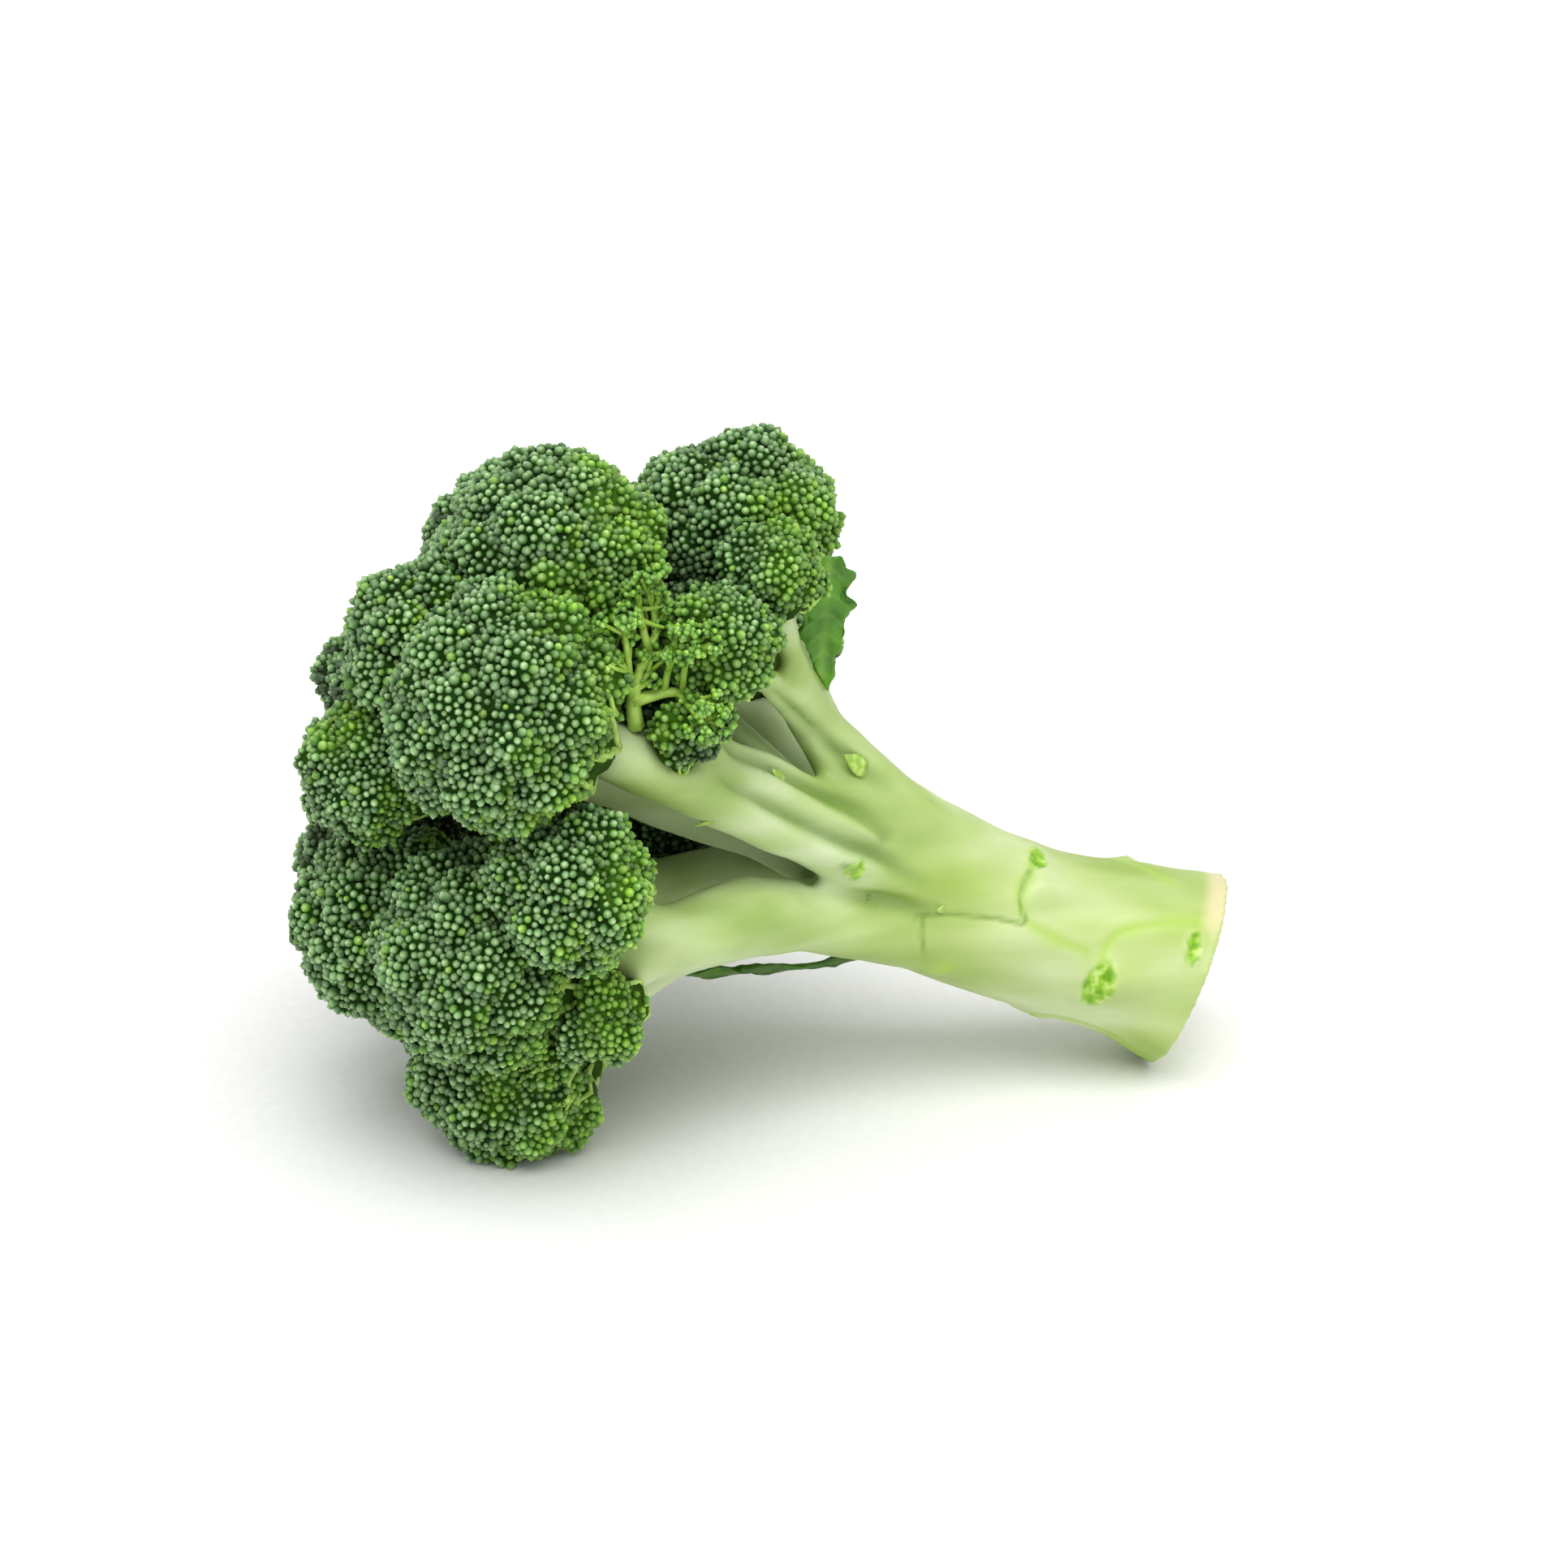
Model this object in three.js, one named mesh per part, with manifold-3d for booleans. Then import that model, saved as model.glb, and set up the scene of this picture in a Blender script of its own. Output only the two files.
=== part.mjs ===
// A head of broccoli, as cut: one stalk that forks into branches, the florets that they
// carry, and two small leaves, lying on a table on two florets and the rim of the cut end.
//
// The head is laid out in its growth frame: z runs up the stalk from the middle of the cut
// end, y is the side that ends uppermost on the table, and x the side towards the front.
// Millimetres and degrees throughout.
import * as THREE from "three";
import { mergeVertices } from "three/addons/utils/BufferGeometryUtils.js";
import Module from "manifold-3d";

const wasm = await Module();
wasm.setup();

// Driving dimensions.
const AXIS_TILT = 22; // the stalk's rise from the cut end to the crown
const CUT_END_HEIGHT = 20; // the middle of the cut end over the table
const CROWN_CENTRE = 130; // up the stalk, the point that the florets stand round
const FORK_HEIGHT = 78; // up the stalk, the point that the florets face away from
const CUT_SLANT = 13; // the cut's lean from square, the stalk being shorter at the front
const GAP = 0.4; // clearance between two pieces
const SLIVER = 0.02; // facets of the stalk narrower than this are merged
const RELIEF = 0.048; // of a floret's radius: how far its clusters of buds stand out
const FINE_RADIUS = 15.4; // florets wider than this have the finer clusters
const POLE_PULL = 0.28; // how much denser a floret's facets are on its dome
const LOBE_COUNT = 6; // smaller domes round the top one of each floret
const LOBE_LEAN = [0.8, 1.15]; // how far they lean from the floret's own axis, in radians
const LOBE_AWAY = [0.48, 0.54]; // of the floret's radius: their distance from its centre
const LOBE_RADIUS = [0.5, 0.55]; // of the floret's radius
const LOBE_SHARPNESS = 20; // how crisply they stand apart

const STALK_COLOUR = 0xcfe0a0;
const FLORET_COLOUR = 0x3f6b38;
const LEAF_COLOUR = 0x4f9a1c;

// The florets: polar angle from the crown's tip, turn about the stalk from its upper side
// towards the front, distance from the crown's centre to the floret's own, and its radius.
// The bough is the branch that carries it.
const FLORETS = [
  { name: "top_front", polar: 51, turn: 18, reach: 57, radius: 24.2, bough: "core" },
  { name: "tip_upper", polar: 29, turn: 41, reach: 62, radius: 17.8, bough: "core" },
  { name: "upper_rim", polar: 89, turn: 0, reach: 57, radius: 22.2, bough: "upper" },
  { name: "upper_rim_side", polar: 91, turn: 23, reach: 63, radius: 11.2, bough: "upper" },
  { name: "front", polar: 46, turn: 61, reach: 59, radius: 24.6, bough: "front" },
  { name: "front_upper", polar: 84, turn: 38, reach: 57, radius: 12.2, bough: "upper" },
  { name: "front_small", polar: 83, turn: 54, reach: 47, radius: 8.9, bough: "side" },
  { name: "tip_lower", polar: 16, turn: 111, reach: 59, radius: 15.2, bough: "core" },
  { name: "lower_tip", polar: 46, turn: 174, reach: 54, radius: 21.3, bough: "lower" },
  { name: "lower_front", polar: 59, turn: 137, reach: 50, radius: 22.0, bough: "lower" },
  { name: "front_ball", polar: 68, turn: 100, reach: 49, radius: 16.5, bough: "lower" },
  { name: "lower_ball", polar: 88, turn: 132, reach: 50, radius: 10.4, bough: "lower" },
  { name: "foot_front", polar: 83, turn: 167, reach: 59, radius: 21.4, bough: "lower" },
  { name: "back_upper_rim", polar: 119, turn: -49, reach: 50, radius: 16.6, bough: "back_upper" },
  { name: "back_hollow", polar: 122, turn: -114, reach: 50, radius: 17.4, bough: "back" },
  { name: "top_hollow", polar: 73, turn: 21, reach: 47, radius: 13.9, bough: "core" },
  { name: "front_inner", polar: 71, turn: 36, reach: 39, radius: 11.0, bough: "front" },
  { name: "back_top", polar: 56, turn: -38, reach: 51, radius: 25, bough: "back_upper" },
  { name: "tip", polar: 22, turn: -80, reach: 49, radius: 21, bough: "core" },
  { name: "back_rim", polar: 88, turn: -58, reach: 59, radius: 21, bough: "back_upper" },
  { name: "back_tip", polar: 52, turn: -106, reach: 54, radius: 24, bough: "core" },
  { name: "back", polar: 82, turn: -90, reach: 60, radius: 22, bough: "back" },
  { name: "back_lower", polar: 52, turn: -154, reach: 52, radius: 25, bough: "back_lower" },
  { name: "back_lower_rim", polar: 90, turn: -124, reach: 59, radius: 22, bough: "back_lower" },
  { name: "foot_back", polar: 84, turn: -157, reach: 62, radius: 22.5, bough: "back_lower" },
];

// The boughs that the stalk forks into: points in the growth frame, each with its radius.
// The last point is the crotch that the bough's twigs leave.
const BOUGHS = {
  lower: [[1, -2, 40, 13], [7, -7, 66, 10], [14, -9, 90, 8], [21, -12, 107, 9], [28, -17, 118, 8]],
  front: [[2, 2, 45, 13], [8, 3, 68, 9], [17, 8, 97, 6.8], [26, 13, 119, 7.4], [35, 16, 135, 6.5]],
  side: [[4, 8, 64, 5], [12, 12, 80, 4.4], [16, 16, 97, 3.8], [19, 19, 111, 3.6], [23, 21, 122, 3.4]],
  upper: [[0, 3, 42, 14], [3, 9, 62, 10.5], [7, 16, 80, 8], [9, 23, 94, 7], [9, 28, 102, 6]],
  core: [[0, 0, 45, 13], [-2, 0, 70, 11], [-2, 3, 100, 9], [-1, 3, 124, 8.5], [0, 3, 136, 7]],
  back_upper: [[-2, 3, 45, 12], [-8, 7, 68, 9.5], [-17, 14, 92, 8], [-24, 20, 106, 6.5]],
  back: [[-3, 0, 45, 12], [-11, -1, 68, 9.5], [-25, -2, 95, 8], [-34, -3, 110, 6.5]],
  back_lower: [[-2, -2, 45, 12], [-8, -7, 68, 9.5], [-16, -14, 95, 8], [-22, -23, 112, 6.5]],
};
const TWIG_RADIUS = 0.27; // of the radius of the floret that it carries
const TWIG_LEAST = 3.3; // the thinnest twig's radius
const TWIG_FLARE = 1.2; // how much wider a twig is at its foot
const TWIG_BEND = 2; // how far a twig bends onward, the way its bough points
const BOUGH_END = { reach: 0.7, radius: 0.45 }; // past the crotch, of the radius there

// Facets round a limb and bands of them along it.
const TRUNK_FACETS = [18, 10];
const BOUGH_FACETS = [8, 7];
const TWIG_FACETS = [6, 3];
const STUB_FACETS = [8, 2];

// The stalk: height up the axis, offset from it (x, y) and radius.
const STALK_RINGS = [
  [-9, 0, 0, 22.2], [0, 0, 0, 22], [5, 0, 0, 21.6], [11, 0, 0.4, 19.8], [20, 0.4, 0, 18.6], [34, 0.6, -0.8, 17.4],
  [48, 0.6, -1.2, 17.2], [60, 0.4, -0.4, 17.6], [72, 0, 0.5, 16.5], [84, 0, 1, 12],
];
// Stubs where leaves were cut off: height of the cut, turn about the stalk, how far the
// middle of the cut is from the axis, and the stub's radius.
const LEAF_SCARS = [
  { height: 26, turn: 98, out: 16.5, radius: 6.5 },
  { height: 47, turn: 48, out: 15.5, radius: 5 },
  { height: 62, turn: 132, out: 16, radius: 5 },
  { height: 20, turn: -40, out: 16.5, radius: 6 },
  { height: 40, turn: -95, out: 15.5, radius: 5.5 },
  { height: 34, turn: 175, out: 15.5, radius: 5.5 },
  { height: 58, turn: -150, out: 15.5, radius: 5 },
];

const STUB_LENGTH = 22; // from the foot inside the stalk to the cut
const STUB_LOWEST = 4; // the lowest that a foot goes
const STUB_DEPTH = 9; // how much nearer to the axis the foot is than the cut
const STUB_SWELL = 9; // below the cut, where the stub is widest

// The two small leaves: points along the midrib in the growth frame, each with the blade's
// half width, the way the blade faces, and how deep its edge is waved.
const LEAVES = {
  side_leaf: {
    midrib: [[10, 34, 105, 1.5], [13, 43, 109, 3.6], [16, 51, 112, 5.2], [18, 58, 114.5, 5.4], [19, 65, 117, 3]],
    facing: [1, 0.1, 0],
    waves: 1.2,
  },
  under_leaf: {
    midrib: [[-4, -14, 60, 1.6], [-5, -25, 78, 1.7], [-6, -31, 92, 3.6], [-7, -36, 104, 2.4]],
    facing: [0.5, -1, 0.35],
    waves: 0.7,
  },
};
const BLADE_THICKNESS = 0.9;
const BLADE_ROWS = 12;
const BLADE_COLUMNS = 6;
const BLADE_LOBES = { depth: 0.16, step: 2.4 }; // of the half width, and radians a row
const BLADE_WAVES = { step: 1.9, lag: 1.2 }; // radians a row, and across the half width
const FAR = 600; // beyond the whole head, every way

// Growth frame to table frame.
const tilt = THREE.MathUtils.degToRad(AXIS_TILT);
const toTable = new THREE.Matrix4().makeBasis(
  new THREE.Vector3(0, -1, 0),
  new THREE.Vector3(Math.sin(tilt), 0, Math.cos(tilt)),
  new THREE.Vector3(-Math.cos(tilt), 0, Math.sin(tilt)),
);
toTable.setPosition(0, 0, CUT_END_HEIGHT);
const down = new THREE.Vector3(0, -Math.cos(tilt), -Math.sin(tilt)); // in the growth frame
const heightOver = (point) => CUT_END_HEIGHT - point.dot(down);

// A point from its distance along the stalk, its turn about it and its distance from it.
function around(height, turn, out) {
  const angle = THREE.MathUtils.degToRad(turn);
  return new THREE.Vector3(out * Math.sin(angle), out * Math.cos(angle), height);
}

// Repeatable draws between 0 and 1.
function randomFrom(seed) {
  let state = seed;
  return () => {
    state = (state * 1664525 + 1013904223) % 4294967296;
    return state / 4294967296;
  };
}

// Closed geometry to a manifold solid, and back.
function solidFrom(geometry) {
  const bare = new THREE.BufferGeometry();
  bare.setAttribute("position", geometry.getAttribute("position"));
  if (geometry.index) bare.setIndex(geometry.index);
  const merged = mergeVertices(bare, 1e-3);
  const vertProperties = new Float32Array(merged.attributes.position.array);
  const triVerts = new Uint32Array(merged.index.array);
  return new wasm.Manifold(new wasm.Mesh({ numProp: 3, vertProperties, triVerts }));
}

function geometryFrom(solid) {
  const { vertProperties, triVerts } = solid.getMesh();
  const geometry = new THREE.BufferGeometry();
  geometry.setAttribute("position", new THREE.BufferAttribute(vertProperties, 3));
  geometry.setIndex(new THREE.BufferAttribute(triVerts, 1));
  geometry.computeVertexNormals();
  return geometry;
}

// A limb: a closed tube along a curve through points of the form [x, y, z, radius].
function limb(stations, [sides, rings], grown = 0) {
  const curve = new THREE.CatmullRomCurve3(stations.map(([x, y, z]) => new THREE.Vector3(x, y, z)));
  const girth = new THREE.CatmullRomCurve3(stations.map(([, , , r]) => new THREE.Vector3(r, 0, 0)));
  const across = new THREE.Vector3(1, 0.3, 0).normalize();
  const positions = [];
  const index = [];
  for (let ring = 0; ring <= rings; ring++) {
    const t = ring / rings;
    const middle = curve.getPoint(t);
    const along = curve.getTangent(t);
    const first = across.clone().addScaledVector(along, -across.dot(along)).normalize();
    const second = along.clone().cross(first);
    const radius = girth.getPoint(t).x + grown;
    for (let side = 0; side < sides; side++) {
      const angle = (2 * Math.PI * (side + 0.5 * (ring % 2))) / sides;
      const rim = middle.clone();
      rim.addScaledVector(first, radius * Math.cos(angle));
      rim.addScaledVector(second, radius * Math.sin(angle));
      positions.push(rim.x, rim.y, rim.z);
      if (ring === rings) continue;
      const here = ring * sides + side;
      const next = ring * sides + ((side + 1) % sides);
      const above = here + sides;
      const aboveNext = next + sides;
      if (ring % 2) index.push(here, next, aboveNext, here, aboveNext, above);
      else index.push(here, next, above, next, aboveNext, above);
    }
  }
  const firstCap = positions.length / 3;
  for (const t of [0, 1]) positions.push(...curve.getPoint(t).toArray());
  for (let side = 0; side < sides; side++) {
    const next = (side + 1) % sides;
    index.push(firstCap, next, side);
    index.push(firstCap + 1, rings * sides + side, rings * sides + next);
  }
  const geometry = new THREE.BufferGeometry();
  geometry.setAttribute("position", new THREE.Float32BufferAttribute(positions, 3));
  geometry.setIndex(index);
  return solidFrom(geometry);
}

// A ball of directions whose peaks each stand in a ring of six hollows: an icosphere with
// a hollow in the middle of each face, and each of its edges turned across.
function budSphere(detail) {
  const icosphere = new THREE.IcosahedronGeometry(1, detail);
  icosphere.deleteAttribute("normal");
  icosphere.deleteAttribute("uv");
  const { attributes, index } = mergeVertices(icosphere, 1e-4);
  const peaks = [];
  for (let i = 0; i < attributes.position.count; i++) {
    peaks.push(new THREE.Vector3().fromBufferAttribute(attributes.position, i));
  }
  const hollows = [];
  const faceOfEdge = new Map();
  for (let face = 0; face < index.count / 3; face++) {
    const corners = [0, 1, 2].map((k) => index.getX(face * 3 + k));
    const middle = new THREE.Vector3();
    corners.forEach((c) => middle.add(peaks[c]));
    hollows.push(middle.normalize());
    corners.forEach((c, k) => faceOfEdge.set(`${c},${corners[(k + 1) % 3]}`, face));
  }
  const triangles = [];
  for (const [edge, face] of faceOfEdge) {
    const [from, to] = edge.split(",").map(Number);
    const across = faceOfEdge.get(`${to},${from}`);
    triangles.push(from, peaks.length + across, peaks.length + face);
  }
  return { directions: [...peaks, ...hollows], peakCount: peaks.length, triangles };
}

// Where a floret's centre is, which way it faces, and the smaller domes on its top.
function placeFloret(floret, order) {
  const polar = THREE.MathUtils.degToRad(floret.polar);
  const height = CROWN_CENTRE + floret.reach * Math.cos(polar);
  const centre = around(height, floret.turn, floret.reach * Math.sin(polar));
  const axis = centre.clone().sub(new THREE.Vector3(0, 0, FORK_HEIGHT)).normalize();
  const random = randomFrom(order + 7);
  const side = new THREE.Vector3(0.3, 1, 0.2).cross(axis).normalize();
  const other = axis.clone().cross(side);
  const between = ([low, high]) => THREE.MathUtils.lerp(low, high, random());
  const lobes = [];
  for (let i = 0; i <= LOBE_COUNT; i++) {
    const lean = i === LOBE_COUNT ? 0 : between(LOBE_LEAN);
    const turn = ((i + between([0, 0.5])) / LOBE_COUNT) * 2 * Math.PI;
    const away = floret.radius * between(LOBE_AWAY);
    const middle = axis.clone().multiplyScalar(away * Math.cos(lean));
    middle.addScaledVector(side, away * Math.sin(lean) * Math.cos(turn));
    middle.addScaledVector(other, away * Math.sin(lean) * Math.sin(turn));
    lobes.push({ middle, radius: floret.radius * between(LOBE_RADIUS) });
  }
  return { ...floret, centre, axis, lobes };
}

// How far a floret reaches from its centre in a direction, with no neighbour in its way.
function freeReach(floret, direction) {
  const rise = direction.dot(floret.axis);
  const depth = floret.radius * (rise > 0 ? 0.94 : 0.74);
  const dome = 1 / Math.sqrt((1 - rise * rise) / floret.radius ** 2 + (rise / depth) ** 2);
  let sum = dome ** LOBE_SHARPNESS;
  for (const { middle, radius } of floret.lobes) {
    const along = direction.dot(middle);
    const inside = radius ** 2 - middle.lengthSq() + along ** 2;
    if (inside > 0) sum += Math.max(0, along + Math.sqrt(inside)) ** LOBE_SHARPNESS;
  }
  return sum ** (1 / LOBE_SHARPNESS);
}

// The nearest of the planes that part a floret from its neighbours, and of the table.
function roomFor(floret, direction, florets) {
  let room = Infinity;
  const downwards = direction.dot(down);
  if (downwards > 0) room = heightOver(floret.centre) / downwards;
  for (const other of florets) {
    if (other === floret) continue;
    const between = other.centre.clone().sub(floret.centre);
    const apart = between.length();
    const share = (apart ** 2 + floret.radius ** 2 - other.radius ** 2) / (2 * apart);
    const towards = direction.dot(between) / apart;
    if (towards > 0) room = Math.min(room, (share - GAP / 2) / towards);
  }
  return room;
}

// A floret: its dome of bud clusters, flattened where it meets its neighbours.
function floretSolid(floret, florets, grown = 0) {
  const { directions, peakCount, triangles } = budSphere(floret.radius > FINE_RADIUS ? 2 : 1);
  const turned = new THREE.Quaternion().setFromUnitVectors(new THREE.Vector3(0, 0, 1), floret.axis);
  const positions = [];
  directions.forEach((raw, i) => {
    const angle = Math.acos(THREE.MathUtils.clamp(raw.z, -1, 1));
    const pulled = angle * (1 - POLE_PULL * (1 - angle / Math.PI));
    const flat = new THREE.Vector3(raw.x, raw.y, 0);
    if (flat.length() > 1e-6) flat.normalize();
    const direction = flat.multiplyScalar(Math.sin(pulled));
    direction.z = Math.cos(pulled);
    direction.applyQuaternion(turned);
    const relief = i < peakCount ? RELIEF : -RELIEF;
    const free = freeReach(floret, direction) + relief * floret.radius;
    const reach = Math.min(free, roomFor(floret, direction, florets)) + grown;
    const point = direction.multiplyScalar(reach).add(floret.centre);
    positions.push(point.x, point.y, point.z);
  });
  const geometry = new THREE.BufferGeometry();
  geometry.setAttribute("position", new THREE.Float32BufferAttribute(positions, 3));
  geometry.setIndex(triangles);
  return solidFrom(geometry);
}

// The last stretch of a bough: its crotch, the way it points and its radius there.
function crotchOf(path) {
  const [x, y, z, radius] = path[path.length - 1];
  const [px, py, pz] = path[path.length - 2];
  const crotch = new THREE.Vector3(x, y, z);
  const before = new THREE.Vector3(px, py, pz);
  return { crotch, before, onward: crotch.clone().sub(before).normalize(), radius };
}

// A bough, rounded off past its crotch.
function bough(path, grown) {
  const { crotch, onward, radius } = crotchOf(path);
  const tip = crotch.addScaledVector(onward, radius * BOUGH_END.reach);
  return limb([...path, [...tip.toArray(), radius * BOUGH_END.radius]], BOUGH_FACETS, grown);
}

// A twig from the crotch of a bough into the middle of a floret.
function twig(floret, grown) {
  const { crotch, before, onward, radius } = crotchOf(BOUGHS[floret.bough]);
  const foot = before.lerp(crotch, 0.5);
  const bend = crotch.clone().lerp(floret.centre, 0.5).addScaledVector(onward, TWIG_BEND);
  const end = Math.max(TWIG_LEAST, floret.radius * TWIG_RADIUS);
  const base = Math.min(radius, end + TWIG_FLARE);
  const stations = [
    [...foot.toArray(), base], [...crotch.toArray(), base],
    [...bend.toArray(), end], [...floret.centre.toArray(), end],
  ];
  return limb(stations, TWIG_FACETS, grown);
}

// A stub that rises out of the stalk towards the crown and ends in the cut of a leaf.
function leafScar({ height, turn, out, radius }, grown) {
  const foot = around(Math.max(STUB_LOWEST, height - STUB_LENGTH), turn, out - STUB_DEPTH);
  const swell = around(height - STUB_SWELL, turn, out - 2.5);
  const cut = around(height, turn, out + 0.5);
  const stations = [
    [...foot.toArray(), radius * 0.8], [...swell.toArray(), radius], [...cut.toArray(), radius * 0.85],
  ];
  return limb(stations, STUB_FACETS, grown);
}

// The stalk, with its boughs, twigs and leaf scars joined in one body.
function stalkSolid(florets, grown = 0) {
  const trunk = STALK_RINGS.map(([height, x, y, radius]) => [x, y, height, radius]);
  let body = limb(trunk, TRUNK_FACETS, grown);
  for (const path of Object.values(BOUGHS)) body = body.add(bough(path, grown));
  for (const floret of florets) body = body.add(twig(floret, grown));
  for (const scar of LEAF_SCARS) body = body.add(leafScar(scar, grown));
  return body;
}

// A leaf: a blade of one thickness, lobed and waved along its edges.
function leafSolid({ midrib, facing, waves }) {
  const [rows, columns] = [BLADE_ROWS, BLADE_COLUMNS];
  const line = new THREE.CatmullRomCurve3(midrib.map(([x, y, z]) => new THREE.Vector3(x, y, z)));
  const breadth = new THREE.CatmullRomCurve3(midrib.map(([, , , b]) => new THREE.Vector3(b, 0, 0)));
  const positions = [];
  const index = [];
  const perFace = (rows + 1) * (columns + 1);
  for (const face of [-1, 1]) {
    for (let row = 0; row <= rows; row++) {
      const t = row / rows;
      const along = line.getTangent(t);
      const across = new THREE.Vector3(...facing).cross(along).normalize();
      const outward = along.clone().cross(across);
      const lobe = 1 + BLADE_LOBES.depth * Math.cos(row * BLADE_LOBES.step);
      for (let column = 0; column <= columns; column++) {
        const share = (2 * column) / columns - 1;
        const point = line.getPoint(t).addScaledVector(across, share * breadth.getPoint(t).x * lobe);
        const phase = row * BLADE_WAVES.step + share * BLADE_WAVES.lag;
        const wave = waves * share * share * Math.sin(phase);
        point.addScaledVector(outward, wave + (face * BLADE_THICKNESS) / 2);
        positions.push(point.x, point.y, point.z);
      }
    }
  }
  const rim = [];
  for (let c = 0; c <= columns; c++) rim.push(c);
  for (let r = 1; r <= rows; r++) rim.push(r * (columns + 1) + columns);
  for (let c = columns - 1; c >= 0; c--) rim.push(rows * (columns + 1) + c);
  for (let r = rows - 1; r > 0; r--) rim.push(r * (columns + 1));
  for (let row = 0; row < rows; row++) {
    for (let column = 0; column < columns; column++) {
      const a = row * (columns + 1) + column;
      const [b, c, d] = [a + 1, a + columns + 2, a + columns + 1];
      index.push(a, b, c, a, c, d);
      index.push(perFace + a, perFace + c, perFace + b, perFace + a, perFace + d, perFace + c);
    }
  }
  rim.forEach((here, i) => {
    const next = rim[(i + 1) % rim.length];
    index.push(here, perFace + here, perFace + next, here, perFace + next, next);
  });
  const geometry = new THREE.BufferGeometry();
  geometry.setAttribute("position", new THREE.Float32BufferAttribute(positions, 3));
  geometry.setIndex(index);
  return solidFrom(geometry);
}

// The largest of the bodies that a cut leaves.
function largest(solid) {
  return solid.decompose().sort((a, b) => b.volume() - a.volume())[0];
}

// A block that fills the half space under the plane z = 0.
function blockBelow() {
  return new THREE.BoxGeometry(FAR, FAR, FAR).translate(0, 0, -FAR / 2);
}

function colouredMesh(name, solid, color, roughness) {
  const geometry = geometryFrom(solid).applyMatrix4(toTable);
  const material = new THREE.MeshStandardMaterial({ color, roughness, metalness: 0 });
  const mesh = new THREE.Mesh(geometry, material);
  mesh.name = name;
  return mesh;
}

const florets = FLORETS.map(placeFloret);
const clearOfFlorets = (solid) =>
  florets.reduce((left, floret) => left.subtract(floretSolid(floret, florets, GAP)), solid);
const table = solidFrom(blockBelow().applyMatrix4(toTable.clone().invert()));
const knife = solidFrom(blockBelow().rotateY(-THREE.MathUtils.degToRad(CUT_SLANT)));
const stalk = clearOfFlorets(stalkSolid(florets).subtract(table).subtract(knife));
const stalkRoom = stalkSolid(florets, GAP);

const broccoli = new THREE.Group();
broccoli.add(colouredMesh("stalk", largest(stalk.simplify(SLIVER)), STALK_COLOUR, 0.55));
for (const floret of florets) {
  const solid = floretSolid(floret, florets);
  broccoli.add(colouredMesh(`floret_${floret.name}`, solid, FLORET_COLOUR, 0.8));
}

for (const [name, leaf] of Object.entries(LEAVES)) {
  const solid = clearOfFlorets(leafSolid(leaf).subtract(stalkRoom));
  broccoli.add(colouredMesh(name, largest(solid), LEAF_COLOUR, 0.6));
}

// The origin is under the middle of the whole.
const box = new THREE.Box3().setFromObject(broccoli);
const middle = box.getCenter(new THREE.Vector3());
broccoli.position.set(-middle.x, -middle.y, 0);

export default broccoli;
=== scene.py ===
# A head of broccoli lying on a table: a pale forked stalk, florets covered in buds, and
# two small leaves.
#
# Each piece starts from the solid that it stands for and keeps its place and its form.
# Lengths are in metres. Growth coordinates, where they are used, are in millimetres: x
# towards the front, y towards the side that lies uppermost, z up the stalk.
from math import cos, pi, radians, sin, tan

import bmesh
import bpy
import numpy as np
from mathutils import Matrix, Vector, noise
from mathutils.bvhtree import BVHTree


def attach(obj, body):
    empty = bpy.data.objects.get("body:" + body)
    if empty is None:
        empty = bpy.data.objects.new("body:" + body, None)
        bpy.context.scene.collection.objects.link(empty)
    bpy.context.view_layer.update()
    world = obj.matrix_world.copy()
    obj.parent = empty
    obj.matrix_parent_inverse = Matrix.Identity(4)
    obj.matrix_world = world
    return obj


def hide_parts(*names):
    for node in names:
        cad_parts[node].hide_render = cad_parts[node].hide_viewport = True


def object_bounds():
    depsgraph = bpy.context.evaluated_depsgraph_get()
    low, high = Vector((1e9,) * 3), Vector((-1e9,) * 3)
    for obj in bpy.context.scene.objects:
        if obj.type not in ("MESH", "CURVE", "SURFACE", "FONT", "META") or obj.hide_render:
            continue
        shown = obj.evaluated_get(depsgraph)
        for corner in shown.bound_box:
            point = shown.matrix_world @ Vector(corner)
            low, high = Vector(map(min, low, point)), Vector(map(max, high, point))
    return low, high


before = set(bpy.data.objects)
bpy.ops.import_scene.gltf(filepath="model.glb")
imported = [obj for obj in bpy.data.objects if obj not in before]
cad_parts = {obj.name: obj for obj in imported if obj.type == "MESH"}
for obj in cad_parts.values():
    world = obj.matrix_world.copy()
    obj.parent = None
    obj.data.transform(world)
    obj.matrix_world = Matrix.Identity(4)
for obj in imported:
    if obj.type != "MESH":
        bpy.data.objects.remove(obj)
cad_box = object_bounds()

MM = 0.001

# The growth frame: the middle of the cut end, and the ways x, y and z run.
AXIS_TILT = radians(22)
CUT_END = np.array([92.0, -9.8, 20.0]) * MM
FRONT = np.array([0.0, -1.0, 0.0])
UPPER = np.array([sin(AXIS_TILT), 0.0, cos(AXIS_TILT)])
ALONG = np.array([-cos(AXIS_TILT), 0.0, sin(AXIS_TILT)])
FORK_HEIGHT = 78
CUT_SLANT = radians(13)

# Camera: where it looks, from which side and height, how far off, and its lens.
CAMERA_TARGET = np.array([9.1, 21.8, 57.86]) * MM
CAMERA_AZIMUTH = radians(-12)
CAMERA_ELEVATION = radians(20)
CAMERA_DISTANCE = 0.8045
CAMERA_LENS = 85  # in mm
CAMERA_SENSOR = 36  # in mm

# Light and table.
KEY_WAY = (0.05, 0.45, -0.9)  # the way that the lamp shines
KEY_STRENGTH = 2.2
KEY_ANGLE = 50  # how wide the lamp looks, in degrees
SKY_STRENGTH = 0.8
TABLE_HALF = 3.0
TABLE_DROP = 0.2 * MM  # the table lies a hair lower than the head's resting spots

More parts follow.
